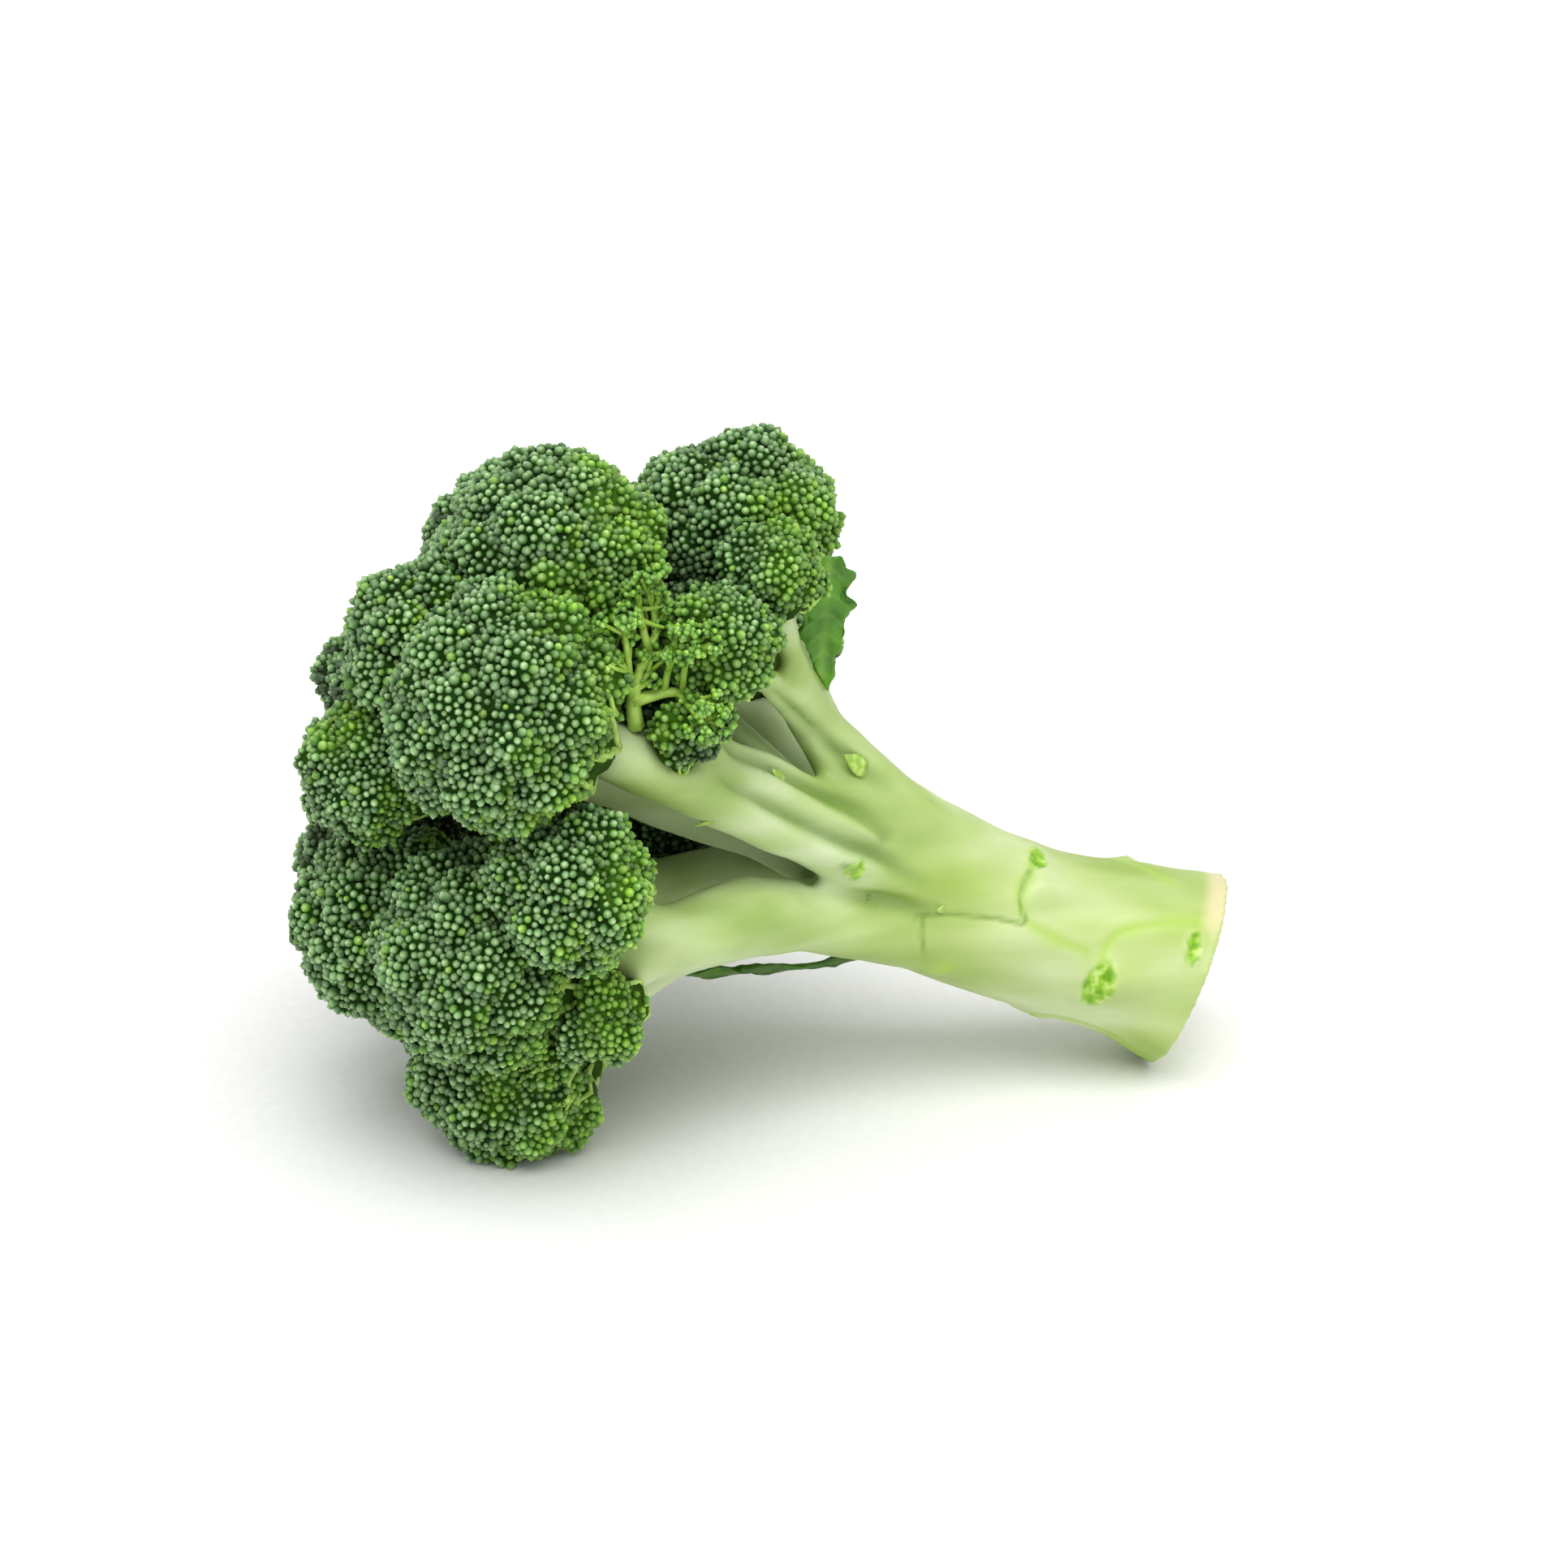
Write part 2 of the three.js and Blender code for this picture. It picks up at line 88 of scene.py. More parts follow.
# Which of its piece's materials a part wears.
BED_SLOT = 0
BUD_SLOT = 1
STEM_SLOT = 2
SKIN_SLOT = 0  # in a piece of one material

# Florets. A floret's size is half its mean width.
TYPICAL_SIZE = 22 * MM
SMALL_SIZE = 12 * MM
LARGE_SIZE = 20 * MM
SOLID_REACH = 1.25  # how far round its centre a solid is taken to reach, in sizes
NEAR_MARGIN = 3 * MM  # florets farther apart don't matter to each other
SEARCH_REACH = 4 * MM
FAR_OFF = 1.0  # the clearance where nothing is near

# The beds that the buds stand on.
SMOOTH_ROUNDS = 4
FINE_BED_SIZE = 14 * MM  # florets larger than that have finer beds
LOBE_SPACING = 17 * MM
LOBE_RELIEF = 3.6 * MM
CLUSTER_SPACING = 7.5 * MM
CLUSTER_RELIEF = 1.9 * MM
RELIEF_SIZE = 42 * MM  # florets of half that size have their lobes in full
RELIEF_LEVEL = 0.8  # how high in a lobe or cluster, 0 to 1, the bed keeps its level
RELIEF_DRAWS = 900
PLUMPNESS = 1.3 * MM  # how far the beds stand out over the rounded solids
DEEP_SINK = 2.5 * MM  # how far they lie back in the deep spots
PRESSED_GAP = 0.6 * MM  # where the next floret is that near, a bed doesn't swell
FREE_GAP = 3.0 * MM  # where it is that far, the bed swells in full
PRESSED_SINK = 0.2 * MM

# Buds.
BUD_SPACING = 1.69 * MM
BUD_DRAWS = 46000  # places tried on a typical floret
BUD_APART = 0.78  # how near two of them may be, in spacings
BUD_LIMIT = radians(126)  # from a floret's axis, how far round its buds reach
BUD_GAP = 0.85 * MM  # how far they keep from the next floret
STALK_GAP = 1.3 * MM  # and from the stalk
BUD_RAGGEDNESS = 0.35  # how unevenly the buds end there
BUD_LEAN = 0.16
BUD_SPREAD = 0.35  # how far they fan out round the floret's centre
BUD_LENGTHS = (0.8, 1.3)
BUD_WIDTH = 1.12  # of the spacing, and how unevenly wide, the narrowest and the widest
BUD_WIDTH_SPREAD = 0.16
BUD_WIDTHS = (0.72, 1.5)
BUD_UNEVENNESS = 0.24 * MM  # how unevenly far they stand out
CLUMP_SIZE = 4.5 * MM  # buds stand out and swell in clumps
CLUMP_LIFT = 0.4 * MM
CLUMP_SWELL = 0.2
STRAY_SHARE = 0.06  # the share that is yellow-green anywhere
STRAY_TONE = 0.75
LOOSE_SHARE = 0.3  # the share that is missing in the middle of the loose spot

# Where the crown is loose, yellow-green or deep.
OPEN_CENTRE = (43, 35, 148)  # growth coordinates of the spot where the crown is loose
OPEN_REACH = 15 * MM
FRESH_REACH = 27 * MM  # the buds round it are yellow-green that far
# Other spots with yellow-green buds: growth coordinates, and how far each reaches in mm.
FRESH_SPOTS = [
    ((22, 70, 126), 17), ((32, 65, 123), 16), ((26, 60, 160), 15), ((16, 66, 167), 9),
    ((40, 42, 168), 15), ((55, 0, 140), 13), ((42, -24, 137), 9), ((44, -31, 130), 14),
    ((29, -65, 126), 15), ((34, -58, 144), 9), ((19, 2, 198), 11), ((36, -48, 139), 8),
]
# Spots that lie deep, their buds kept from yellow-green and darkened as painted shade, in the same
# way.
DEEP_SPOTS = [((45, 25, 133), 9), ((21, 51, 143), 11), ((30, 31, 143), 12)]
# The loose stems of the open spot: growth coordinates and radius of each of their points.
SPRAY = [
    [(38, 24.6, 146.9, 1.7), (40, 29.6, 150.1, 1.5), (40, 35.3, 151.1, 1.2),
     (37, 44.3, 149.7, 0.8)],
    [(39, 40.3, 150.6, 0.95), (39, 44.0, 153.4, 0.75), (38, 47.0, 154.9, 0.6)],
    [(40, 29.6, 150.1, 1.0), (42, 34.8, 153.1, 0.8), (43, 39.5, 155.5, 0.7),
     (44, 42.9, 157.6, 0.55)],
    [(40, 29.6, 150.1, 1.4), (40, 33.7, 144.3, 1.1), (41, 34.5, 141.4, 0.9),
     (45, 34.8, 139.6, 0.7)],
    [(40, 33.4, 144.9, 0.8), (42, 38.8, 146.4, 0.7), (45, 43.0, 146.9, 0.55)],
    [(41, 34.5, 141.4, 0.8), (45, 40.1, 144.4, 0.65), (46, 44.7, 144.7, 0.55)],
    [(41, 34.0, 141.9, 0.7), (46, 33.2, 140.2, 0.6), (48, 32.4, 138.3, 0.5)],
    [(40, 32.4, 150.5, 0.8), (39, 35.9, 148.8, 0.65), (38, 38.6, 147.0, 0.55)],
    [(38, 43.1, 150.0, 0.8), (37, 47.1, 151.7, 0.65), (39, 50.8, 154.6, 0.5)],
]
SPRAY_FLORET = "floret_front_inner"  # the floret that the loose stems belong to
SPRAY_TWIGS = 6  # at the end of each loose stem
SPRAY_SHARES = (0.45, 0.62, 0.8)  # how far along it one more twig stands
SPRAY_LENGTHS = (2.8, 5.2)  # of the twigs, in mm
SPRAY_RADII = (0.55, 0.36)  # at either end of a twig, in mm
BALL_BUDS = 9  # at the end of each twig
BALL_RADIUS = 1.15 * MM

# The fine stems under a floret, and the branches and forks of each: from which angle off the
# twig's end to which, in radians, and the radius at either end, in mm.
FAN_STEM = (0.10, 0.70, 1.5, 1.0)
FAN_BRANCH = (0.58, 1.02, 0.95, 0.6)
FAN_FORK = (0.92, 1.22, 0.6, 0.42)
FAN_COUNT = 9  # stems under a typical floret
FAN_LEAST = 5
FAN_GAP = 0.5 * MM  # how far they keep from the next floret
TWIG_REACH = 1.2 * MM  # the stalk's points that near to a floret belong to its twig

ASIDE = np.array([0.3, 0.2, 0.9])  # a way that no stem runs


def growth(x, y, z):
    """A point of the growth frame, in the scene."""
    return CUT_END + (FRONT * x + UPPER * y + ALONG * z) * MM


def to_growth(points):
    """Scene points in growth coordinates."""
    offset = (points - CUT_END) / MM
    return np.stack([offset @ FRONT, offset @ UPPER, offset @ ALONG], axis=-1)


def smoothstep(low, high, value):
    """0 below low, 1 above high, and a smooth rise between them."""
    share = np.clip((value - low) / (high - low), 0.0, 1.0)
    return share * share * (3 - 2 * share)


def bell(values, middle, width):
    """1 where a value is the middle one, falling to 0 some widths away from it."""
    return np.exp(-((values - middle) / width) ** 2)


def norm(vectors):
    """How long each vector is."""
    return np.linalg.norm(vectors, axis=-1)


def unit(vectors):
    """The vectors, each made one long."""
    return vectors / np.maximum(np.linalg.norm(vectors, axis=-1, keepdims=True), 1e-12)


def cloud(points, size, seed):
    """Smooth noise from -1 to 1 at each point, its blobs about size across."""
    shifted = points / size + seed * 17.3
    return np.array([noise.noise(Vector(p)) for p in shifted])


def placed(name, data):
    """A new object, in the scene."""
    thing = bpy.data.objects.new(name, data)
    bpy.context.scene.collection.objects.link(thing)
    return thing


# Meshes as arrays.
def mesh_arrays(mesh):
    """A mesh's points and triangles."""
    points = np.empty(len(mesh.vertices) * 3)
    mesh.vertices.foreach_get("co", points)
    mesh.calc_loop_triangles()
    triangles = np.empty(len(mesh.loop_triangles) * 3, dtype=np.int32)
    mesh.loop_triangles.foreach_get("vertices", triangles)
    return points.reshape(-1, 3), triangles.reshape(-1, 3)


def search(tree, points, *reach):
    """What lies nearest to each point on a surface: place, facing, triangle and distance."""
    return [tree.find_nearest(Vector(point), *reach) for point in points]


def tree_of(points, triangles):
    """A surface that can be searched for its nearest point, or shot at."""
    return BVHTree.FromPolygons(points.tolist(), triangles.tolist())


def node_copy(name):
    """A copy of a node's mesh with its shared corners welded."""
    bm = bmesh.new()
    bm.from_mesh(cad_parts[name].data)
    bmesh.ops.remove_doubles(bm, verts=bm.verts, dist=0.01 * MM)
    mesh = bpy.data.meshes.new("copy")
    bm.to_mesh(mesh)
    bm.free()
    return mesh


def with_modifier(mesh, kind, **settings):
    """The mesh after one modifier."""
    worker = placed("worker", mesh)
    modifier = worker.modifiers.new("step", kind)
    for key, value in settings.items():
        setattr(modifier, key, value)
    graph = bpy.context.evaluated_depsgraph_get()
    result = bpy.data.meshes.new_from_object(worker.evaluated_get(graph))
    bpy.data.objects.remove(worker)
    return result


def edges_of(triangles):
    """Every pair of points that an edge joins, once."""
    pairs = np.concatenate([triangles[:, [0, 1]], triangles[:, [1, 2]], triangles[:, [2, 0]]])
    return np.unique(np.sort(pairs, axis=1), axis=0)


def neighbour_mean(points, edges):
    """For each point, the mean of those that an edge joins to it."""
    total = np.zeros_like(points)
    np.add.at(total, edges[:, 0], points[edges[:, 1]])
    np.add.at(total, edges[:, 1], points[edges[:, 0]])
    count = np.bincount(edges.ravel(), minlength=len(points))
    return total / np.maximum(count, 1)[:, None]


def normals_of(points, triangles):
    """The way that the surface faces at each point."""
    corners = points[triangles]
    faces = np.cross(corners[:, 1] - corners[:, 0], corners[:, 2] - corners[:, 0])
    total = np.zeros_like(points)
    for corner in range(3):
        np.add.at(total, triangles[:, corner], faces)
    return unit(total)


class Parts:
    """Triangles gathered for one piece, with what its materials read at each point."""

    def __init__(self):
        self.points = []
        self.triangles = []
        self.slots = []
        self.values = {}
        self.count = 0

    def add(self, points, triangles, slot, **values):
        """Adds triangles, and the values that their points have."""
        self.points.append(points)
        self.triangles.append(triangles + self.count)
        self.slots.append(np.full(len(triangles), slot))
        for key in set(values) | set(self.values):
            rows = self.values.setdefault(key, [np.zeros(self.count)] if self.count else [])
            rows.append(np.broadcast_to(values.get(key, 0.0), len(points)).astype(float))
        self.count += len(points)

    def make(self, name, materials):
        """The piece's object, kept inside the box of the solids."""
        low, high = np.array(cad_box)
        points = np.clip(np.concatenate(self.points), low, high)
        triangles = np.concatenate(self.triangles)
        mesh = bpy.data.meshes.new(name)
        mesh.from_pydata(points.tolist(), [], triangles.tolist())
        for material in materials:
            mesh.materials.append(material)
        mesh.polygons.foreach_set("material_index", np.concatenate(self.slots).astype(np.int32))
        mesh.polygons.foreach_set("use_smooth", np.ones(len(triangles), dtype=bool))
        for key, rows in self.values.items():
            layer = mesh.attributes.new(key, "FLOAT", "POINT")
            layer.data.foreach_set("value", np.concatenate(rows))
        mesh.update()
        return placed(name, mesh)


def tube(stations, radii, sides):
    """A closed tube through the stations, pointed at its far end."""
    along = unit(np.gradient(stations, axis=0))
    first = unit(np.cross(along, ASIDE))
    second = np.cross(along, first)
    angles = np.arange(sides) * 2 * pi / sides
    ring = (np.cos(angles)[None, :, None] * first[:, None, :]
            + np.sin(angles)[None, :, None] * second[:, None, :])
    points = stations[:, None, :] + ring * radii[:, None, None]
    end = stations[-1] + along[-1] * radii[-1]
    points = np.concatenate([points.reshape(-1, 3), stations[:1], end[None, :]])
    triangles = []
    last = len(stations) - 1
    for row in range(last):
        for side in range(sides):
            here = row * sides + side
            after = row * sides + (side + 1) % sides
            triangles += [(here, after, after + sides), (here, after + sides, here + sides)]
    foot = len(points) - 2
    top = len(points) - 1
    for side in range(sides):
        after = (side + 1) % sides
        triangles += [(foot, after, side), (top, last * sides + side, last * sides + after)]
    return points, np.array(triangles)


# Materials.
MIX_FIRST = 6  # sockets of the mix node that take and give colours
MIX_SECOND = 7
MIX_RESULT = 2


def new_material(name):
    """A new material, its node tree and its main shader."""
    material = bpy.data.materials.new(name)
    material.use_nodes = True
    return material, material.node_tree, material.node_tree.nodes["Principled BSDF"]


def linear(red, green, blue):
    """The shader's colour for one given as it looks on a screen, 0 to 255."""
    shares = [value / 255 for value in (red, green, blue)]
    return tuple(share / 12.92 if share <= 0.04045 else ((share + 0.055) / 1.055) ** 2.4
                 for share in shares) + (1.0,)


def feed(tree, socket, value):
    """Gives an input a value, or another node's output."""
    if hasattr(value, "links"):
        tree.links.new(value, socket)
    else:
        socket.default_value = value


def put(tree, node, **values):
    """Feeds the inputs of a node. An underscore in a name stands for a space."""
    for name, value in values.items():
        feed(tree, node.inputs[name.replace("_", " ")], value)


def new_node(tree, kind, **values):
    """A new node of a kind, its inputs fed."""
    node = tree.nodes.new("ShaderNode" + kind)
    put(tree, node, **values)
    return node


def attribute(tree, name):
    """The value of that name that each point has."""
    node = new_node(tree, "Attribute")
    node.attribute_name = name
    return node.outputs["Fac"]


def ramp(tree, factor, stops):
    """Colours, given as they look on a screen, that follow a factor from stop to stop."""
    node = new_node(tree, "ValToRGB", Fac=factor)
    elements = node.color_ramp.elements
    while len(elements) < len(stops):
        elements.new(0.5)
    for element, (place, colour) in zip(elements, stops):
        element.position = place
        element.color = linear(*colour)
    return node.outputs["Color"]


def mix(tree, factor, first, second, blend="MIX"):
    """Two colours mixed. Each input is a value or another node's output. The factor may
    also be the name of a value that each point has."""
    if isinstance(factor, str):
        factor = attribute(tree, factor)
    node = new_node(tree, "Mix", Factor=factor)
    node.data_type = "RGBA"
    node.blend_type = blend
    feed(tree, node.inputs[MIX_FIRST], first)
    feed(tree, node.inputs[MIX_SECOND], second)
    return node.outputs[MIX_RESULT]


def noise_texture(tree, scale, detail=3.0, stretch=None):
    """Noise in the object's own space, stretched along the stalk where a stretch is given."""
    source = new_node(tree, "TexCoord").outputs["Object"]
    if stretch:
        tilt = (0, AXIS_TILT, 0)
        mapping = new_node(tree, "Mapping", Vector=source, Rotation=tilt, Scale=stretch)
        source = mapping.outputs["Vector"]
    return new_node(tree, "TexNoise", Vector=source, Scale=scale, Detail=detail).outputs["Fac"]


def remap(tree, value, low, high, to_high):
    """A value from low to high, brought to between 0 and to_high."""
    node = new_node(tree, "MapRange", Value=value, From_Min=low, From_Max=high, To_Max=to_high)
    return node.outputs["Result"]


def finish(tree, shader, colour, roughness, relief, distance, strength=1.0):
    """Gives the shader its colour, roughness and fine relief, that distance high."""
    bump = new_node(tree, "Bump", Height=relief, Distance=distance, Strength=strength)
    put(tree, shader, Base_Color=colour, Roughness=roughness, Normal=bump.outputs["Normal"])


def bud_material():
    """Buds: waxy and pale at the tip, yellow-green where open, dark at the foot as painted shade
    between them.
    """
    material, tree, shader = new_material("bud")
    tip = attribute(tree, "tip")
    # The dark foot colours are painted shade between the buds.
    green = ramp(tree, tip, [
        (0.0, (17, 47, 6)), (0.35, (64, 114, 40)), (0.7, (148, 190, 120)), (1.0, (222, 241, 204)),
    ])
    fresh = ramp(tree, tip, [
        (0.0, (44, 88, 4)), (0.35, (100, 158, 18)), (0.75, (156, 208, 58)), (1.0, (206, 238, 118)),
    ])
    colour = mix(tree, "tone", green, fresh)
    speck = ramp(tree, attribute(tree, "speck"), [
        (0.0, (176, 192, 178)), (0.5, (228, 238, 220)), (1.0, (255, 255, 250)),
    ])
    colour = mix(tree, 1.0, colour, speck, "MULTIPLY")
    # Painted shade: darkened towards dark green by the inner value, in creases, deep spots and
    # under the crown.
    colour = mix(tree, "inner", colour, linear(20, 44, 6))
    grain = noise_texture(tree, 900)
    mottle = ramp(tree, grain, [(0.3, (206, 216, 206)), (0.7, (255, 255, 255))])
    colour = mix(tree, 1.0, colour, mottle, "MULTIPLY")
    finish(tree, shader, colour, 0.48, grain, 0.15 * MM)
    return material


def bed_material():
    """The floret's flesh under its buds: green, deepened as painted shade between the buds."""
    material, tree, shader = new_material("bed")
    grain = noise_texture(tree, 260)
    dark = ramp(tree, grain, [(0.3, (12, 34, 2)), (0.7, (28, 60, 6))])
    pale = ramp(tree, grain, [(0.3, (58, 100, 12)), (0.7, (98, 146, 30))])
    colour = mix(tree, "tone", dark, pale)
    # Painted shade: the bed darkened by the inner value, under the crown and on its underside.
    colour = mix(tree, "inner", colour, linear(30, 44, 8))
    finish(tree, shader, colour, 0.8, grain, 0.6 * MM)
    put(tree, shader, Specular_IOR_Level=0.1)
    return material


def stem_material():
    """The fine stems that carry the buds."""
    material, tree, shader = new_material("fine_stem")
    grain = noise_texture(tree, 300)
    young = ramp(tree, grain, [(0.3, (128, 178, 40)), (0.7, (188, 222, 96))])
    old = ramp(tree, grain, [(0.3, (142, 172, 88)), (0.7, (184, 206, 130))])
    colour = mix(tree, "tone", old, young)
    # Painted shade: the stems darkened by the inner value where they face in under the crown.
    colour = mix(tree, "inner", colour, linear(44, 60, 14))
    finish(tree, shader, colour, 0.45, grain, 0.2 * MM)
    return material


def stalk_material():
    """Pale stem skin: lengthwise streaks, lime patches, thin dark creases, fresh cuts, and painted
    shade in the hollows between boughs.
    """
    material, tree, shader = new_material("stalk_skin")
    streaks = noise_texture(tree, 70, 5.0, (0.10, 1.0, 1.0))
    blotches = noise_texture(tree, 42, 2.0, (0.45, 1.0, 1.0))
    pale = ramp(tree, blotches, [
        (0.34, (148, 174, 64)), (0.46, (170, 192, 102)), (0.56, (190, 206, 138)),
        (0.68, (204, 216, 168)),
    ])
    green = ramp(tree, blotches, [
        (0.34, (166, 190, 108)), (0.46, (190, 208, 146)), (0.56, (206, 220, 174)),
        (0.68, (216, 227, 194)),
    ])
    colour = mix(tree, "tone", pale, green)
    # Painted shade: darker olive in the hollows and valleys between the boughs and on the side
    # stem.
    hollow = remap(tree, attribute(tree, "hollow"), 0.0, 1.0, 0.7)
    colour = mix(tree, hollow, colour, linear(112, 146, 54))
    streak = ramp(tree, streaks, [(0.38, (222, 232, 200)), (0.62, (255, 255, 255))])
    colour = mix(tree, 0.9, colour, streak, "MULTIPLY")
    glow = remap(tree, attribute(tree, "glow"), 0.0, 1.0, 0.7)
    colour = mix(tree, glow, colour, linear(164, 200, 72))
    line = remap(tree, attribute(tree, "crease"), 0.15, 0.9, 0.65)
    colour = mix(tree, line, colour, linear(112, 146, 50))
    grain = noise_texture(tree, 420, 2.0)
    fresh = ramp(tree, grain, [
        (0.38, (108, 162, 8)), (0.52, (146, 192, 38)), (0.64, (190, 218, 120)),
    ])
    colour = mix(tree, "scar", colour, fresh)
    pith = ramp(tree, attribute(tree, "pith"), [
        (0.0, (216, 222, 178)), (0.62, (206, 216, 162)), (0.76, (156, 184, 94)),
        (0.86, (196, 208, 142)), (1.0, (168, 192, 106)),
    ])
    colour = mix(tree, "cut", colour, pith)
    colour = mix(tree, "dry", colour, linear(216, 206, 160))
    finish(tree, shader, colour, 0.42, streaks, 0.7 * MM, 0.8)
    put(tree, shader, Subsurface_Weight=0.2, Subsurface_Radius=(3 * MM, 4 * MM, 2 * MM),
        Subsurface_Scale=1.0)
    return material


def leaf_material():
    """Leaf blade: bright green with a paler midrib and veins."""
    material, tree, shader = new_material("leaf_blade")
    grain = noise_texture(tree, 120)
    blade = ramp(tree, grain, [(0.3, (36, 92, 2)), (0.7, (88, 150, 12))])
    rib = remap(tree, attribute(tree, "rib"), 0.0, 1.0, 0.3)
    colour = mix(tree, rib, blade, linear(158, 204, 76))
    colour = mix(tree, "deep", colour, linear(36, 60, 22))
    finish(tree, shader, colour, 0.42, grain, 0.4 * MM)
    return material


def floor_material():
    """A plain matt table, all but white."""
    material, tree, shader = new_material("table")
    grain = noise_texture(tree, 400)
    colour = ramp(tree, grain, [(0.3, (234, 234, 233)), (0.7, (238, 238, 237))])
    put(tree, shader, Base_Color=colour, Roughness=0.8, Specular_IOR_Level=0.1)
    return material


BUD = bud_material()
BED = bed_material()
STEM = stem_material()
STALK = stalk_material()
LEAF = leaf_material()


# Points spread over a surface.
def scattered(points, triangles, count, random):
    """That many points drawn evenly over a surface."""
    corners = points[triangles]
    starts = corners[:, 0]
    first_sides = corners[:, 1] - starts
    second_sides = corners[:, 2] - starts
    area = norm(np.cross(first_sides, second_sides))
    chosen = random.choice(len(triangles), count, p=area / area.sum())
    first_share, second_share = random.random((2, count, 1))
    over = (first_share + second_share) > 1
    first_share = np.where(over, 1 - first_share, first_share)
    second_share = np.where(over, 1 - second_share, second_share)
    return starts[chosen] + first_sides[chosen] * first_share + second_sides[chosen] * second_share


def thinned(points, apart):
    """The points that are left once none has another nearer than apart."""
    kept = []
    cells = {}
    steps = [(i, j, k) for i in (-1, 0, 1) for j in (-1, 0, 1) for k in (-1, 0, 1)]
    limit = apart * apart
    for x, y, z in points.tolist():
        cell = (int(x // apart), int(y // apart), int(z // apart))
        near = (other for i, j, k in steps
                for other in cells.get((cell[0] + i, cell[1] + j, cell[2] + k), ()))
        if all((a - x) ** 2 + (b - y) ** 2 + (c - z) ** 2 >= limit for a, b, c in near):
            cells.setdefault(cell, []).append((x, y, z))
            kept.append((x, y, z))
    return np.array(kept)


def nearest(tree, points):
    """For each point, the nearest point of a surface, and the surface's normal there."""
    found = search(tree, points)
    places = np.array([place for place, _, _, _ in found])
    ways = np.array([way for _, way, _, _ in found])
    return places, ways


def evened(points, tree, spacing, rounds):
    """The points pushed apart over the surface until they stand about evenly."""
    reach = 1.5 * spacing  # points farther apart leave each other alone
    for _ in range(rounds):
        delta = points[:, None, :] - points[None, :, :]
        distance = norm(delta)
        np.fill_diagonal(distance, reach)
        weight = np.clip(1 - distance / reach, 0, 1) ** 2
        push = (delta / distance[:, :, None] * weight[:, :, None]).sum(axis=1)
        points, _ = nearest(tree, points + push * spacing * 0.45)
    return points


def spin_frames(ways, random, tilt):
    """For each way, two directions across it turned at random, and the way tilted a little."""
    ways = unit(ways + random.normal(0, tilt, ways.shape))
    helper = unit(random.normal(0, 1, ways.shape))
    first = unit(np.cross(ways, helper))
    return first, np.cross(ways, first), ways


# A bud: the two rings of points below its tip, each its height, its radius and how pale it
# is, and the tip's height. Lengths are in bud radii.
BUD_RINGS = [(-0.25, 0.95, 0.08), (0.7, 0.8, 0.64)]
BUD_TIP = 1.26
BUD_SIDES = 6


def bud_template():
    """One bud: its points, how pale each is, and its triangles. It is open at its foot."""
    points = []
    for row, (height, radius, pale) in enumerate(BUD_RINGS):
        for side in range(BUD_SIDES):
            angle = 2 * pi * (side + 0.5 * row) / BUD_SIDES
            points.append((radius * cos(angle), radius * sin(angle), height, pale))
    points = np.array(points + [(0, 0, BUD_TIP, 1.0)])
    walls = []
    cap = []
    for side in range(BUD_SIDES):
        after = (side + 1) % BUD_SIDES
        walls += [(side, after, BUD_SIDES + side), (after, BUD_SIDES + after, BUD_SIDES + side)]
        cap.append((BUD_SIDES + side, BUD_SIDES + after, 2 * BUD_SIDES))
    return points[:, :3], points[:, 3], np.array(walls + cap)


BUD_POINTS, BUD_PALENESS, BUD_TRIANGLES = bud_template()


def add_buds(parts, places, ways, sizes, tones, inner, random):
    """Buds at the places, standing along the ways."""
    first, second, up = spin_frames(ways, random, BUD_LEAN)
    x, y, z = BUD_POINTS.T
    lengths = random.uniform(*BUD_LENGTHS, len(places))
    shape = (first[:, None, :] * x[None, :, None] + second[:, None, :] * y[None, :, None]
             + up[:, None, :] * (z[None, :, None] * lengths[:, None, None]))
    points = places[:, None, :] + shape * sizes[:, None, None]
    offsets = np.arange(len(places))[:, None, None] * len(BUD_POINTS)
    triangles = BUD_TRIANGLES[None, :, :] + offsets
    repeat = len(BUD_POINTS)
    parts.add(points.reshape(-1, 3), triangles.reshape(-1, 3), BUD_SLOT,
              tip=np.tile(BUD_PALENESS, len(places)), tone=np.repeat(tones, repeat),
              inner=np.repeat(inner, repeat),
              speck=np.repeat(random.random(len(places)), repeat))


